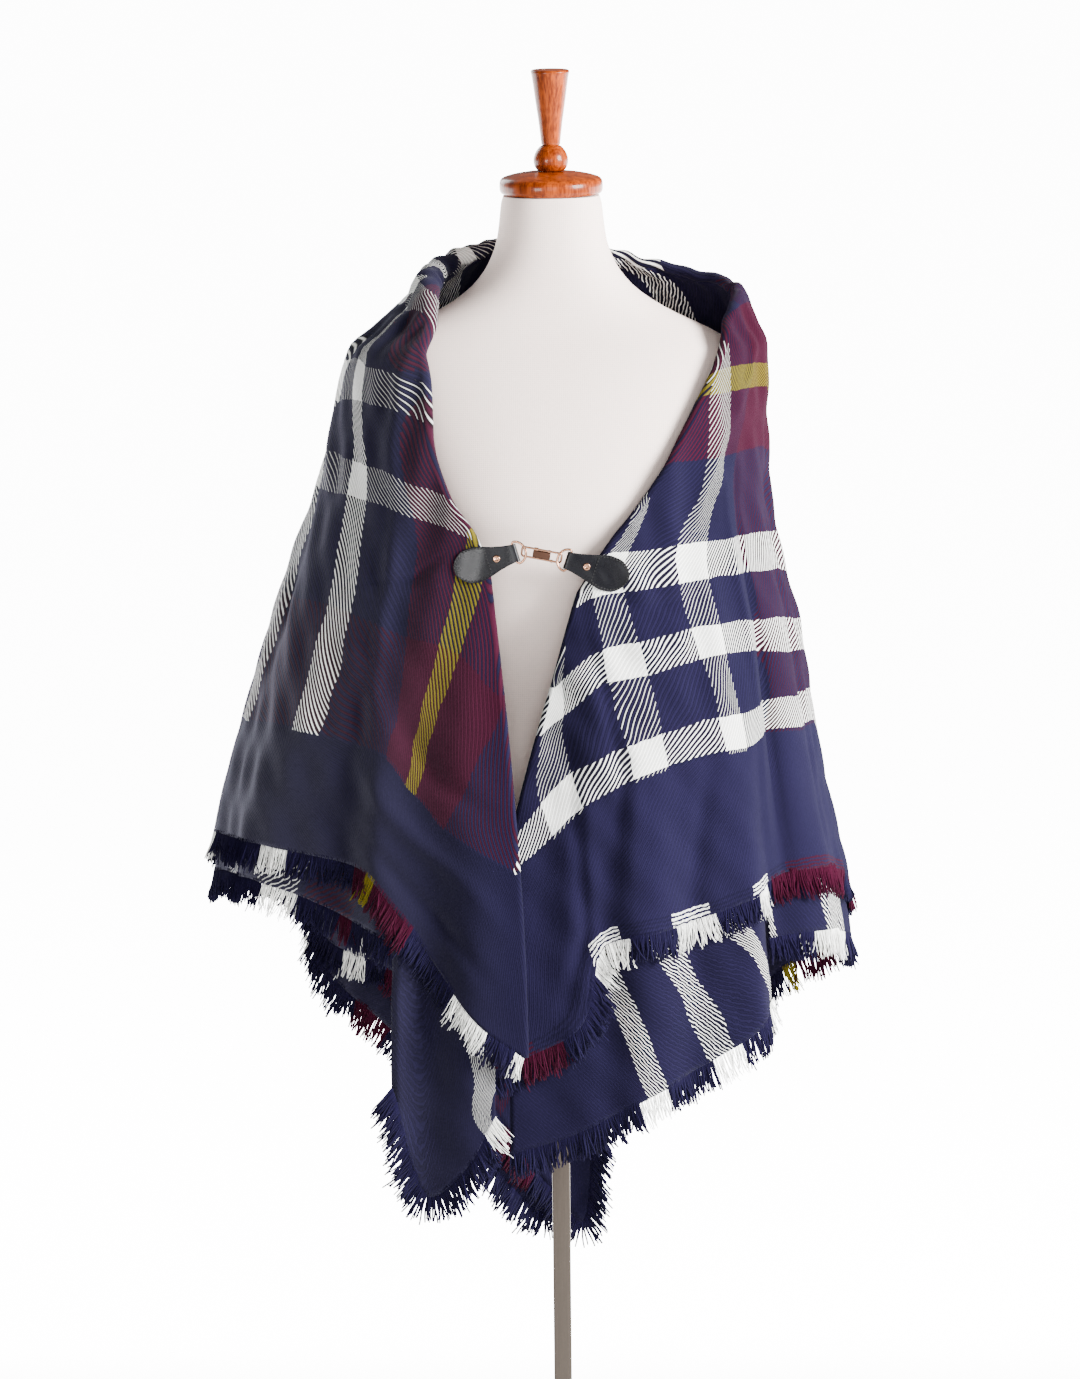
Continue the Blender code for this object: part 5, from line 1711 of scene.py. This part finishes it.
class CAPE_OT_stage(bpy.types.Operator):
    """Add the floor, the lights and the camera"""

    bl_idname = "cape.stage"
    bl_label = "Stage"

    def execute(self, context):
        settings = context.scene.cape_stage
        floor = added("studio_floor", bpy.ops.mesh.primitive_plane_add, size=FLOOR_SIZE)
        paint = new_finish("Studio_floor_paint", studio_white, settings)
        paint.cycles.emission_sampling = "NONE"
        floor.data.materials.append(paint)
        world = bpy.data.worlds.new("Even_room_light")
        world.use_nodes = True
        even = world.node_tree.nodes["Background"].inputs
        even["Color"].default_value, even["Strength"].default_value = (1, 1, 1, 1), settings.sky
        context.scene.world = world
        for name, power, place, size in LIGHTS:
            light = added(name, bpy.ops.object.light_add, type="AREA", location=place)
            light.data.energy, light.data.size = getattr(settings, power), size
            # the white card is seen only in gloss, and lights nothing
            light.visible_diffuse = name != "gleam_card"
            aim = LIGHT_TARGET - Vector(place)
            light.rotation_euler = aim.to_track_quat("-Z", "Y").to_euler()
        back = Vector((0.0, -math.cos(settings.elevation), math.sin(settings.elevation)))
        stand = CAMERA_TARGET + back * settings.distance
        camera = added("studio_camera", bpy.ops.object.camera_add, location=stand)
        level = (-back).to_track_quat("-Z", "Y").to_matrix()
        camera.rotation_euler = (level @ Matrix.Rotation(settings.roll, 3, "Z")).to_euler()
        camera.data.lens, camera.data.clip_end = settings.lens, FAR_CLIP
        camera.data.sensor_fit, camera.data.sensor_width = "HORIZONTAL", SENSOR_WIDTH
        context.scene.camera = camera
        return {"FINISHED"}


STEPS = (
    CAPE_OT_stage, CAPE_OT_linen_body, CAPE_OT_neck_cap, CAPE_OT_stand, CAPE_OT_outer_layer,
    CAPE_OT_under_layer, CAPE_OT_fringe, CAPE_OT_cloth_facts, CAPE_OT_leather_tabs, CAPE_OT_hook,
)
GROUPS = {
    "cape_cloth": ClothSettings, "cape_form": FormSettings, "cape_clasp": ClaspSettings,
    "cape_stage": StageSettings,
}


class CAPE_PT_panel(bpy.types.Panel):
    """The cape poncho's steps and settings"""

    bl_idname = "CAPE_PT_panel"
    bl_label = "Cape poncho"
    bl_space_type = "VIEW_3D"
    bl_region_type = "UI"
    bl_category = "Cape poncho"

    def draw(self, context):
        for step in STEPS:
            self.layout.operator(step.bl_idname)
        for name, group in GROUPS.items():
            box = self.layout.box()
            box.label(text=group.__doc__)
            for setting in group.__annotations__:
                box.prop(getattr(context.scene, name), setting)


def register():
    for name, group in GROUPS.items():
        bpy.utils.register_class(group)
        setattr(bpy.types.Scene, name, PointerProperty(type=group))
    for step in (*STEPS, CAPE_PT_panel):
        bpy.utils.register_class(step)


def unregister():
    for step in reversed((*STEPS, CAPE_PT_panel)):
        bpy.utils.unregister_class(step)
    for name, group in reversed(GROUPS.items()):
        delattr(bpy.types.Scene, name)
        bpy.utils.unregister_class(group)


def main():
    """Run every step in order."""
    register()
    bpy.ops.cape.stage()
    bpy.ops.cape.linen_body()
    bpy.ops.cape.neck_cap()
    bpy.ops.cape.stand()
    bpy.ops.cape.outer_layer()
    bpy.ops.cape.under_layer()
    bpy.ops.cape.fringe()
    bpy.ops.cape.cloth_facts()
    bpy.ops.cape.leather_tabs()
    bpy.ops.cape.hook()
    bpy.context.view_layer.update()


if __name__ == "__main__":
    main()
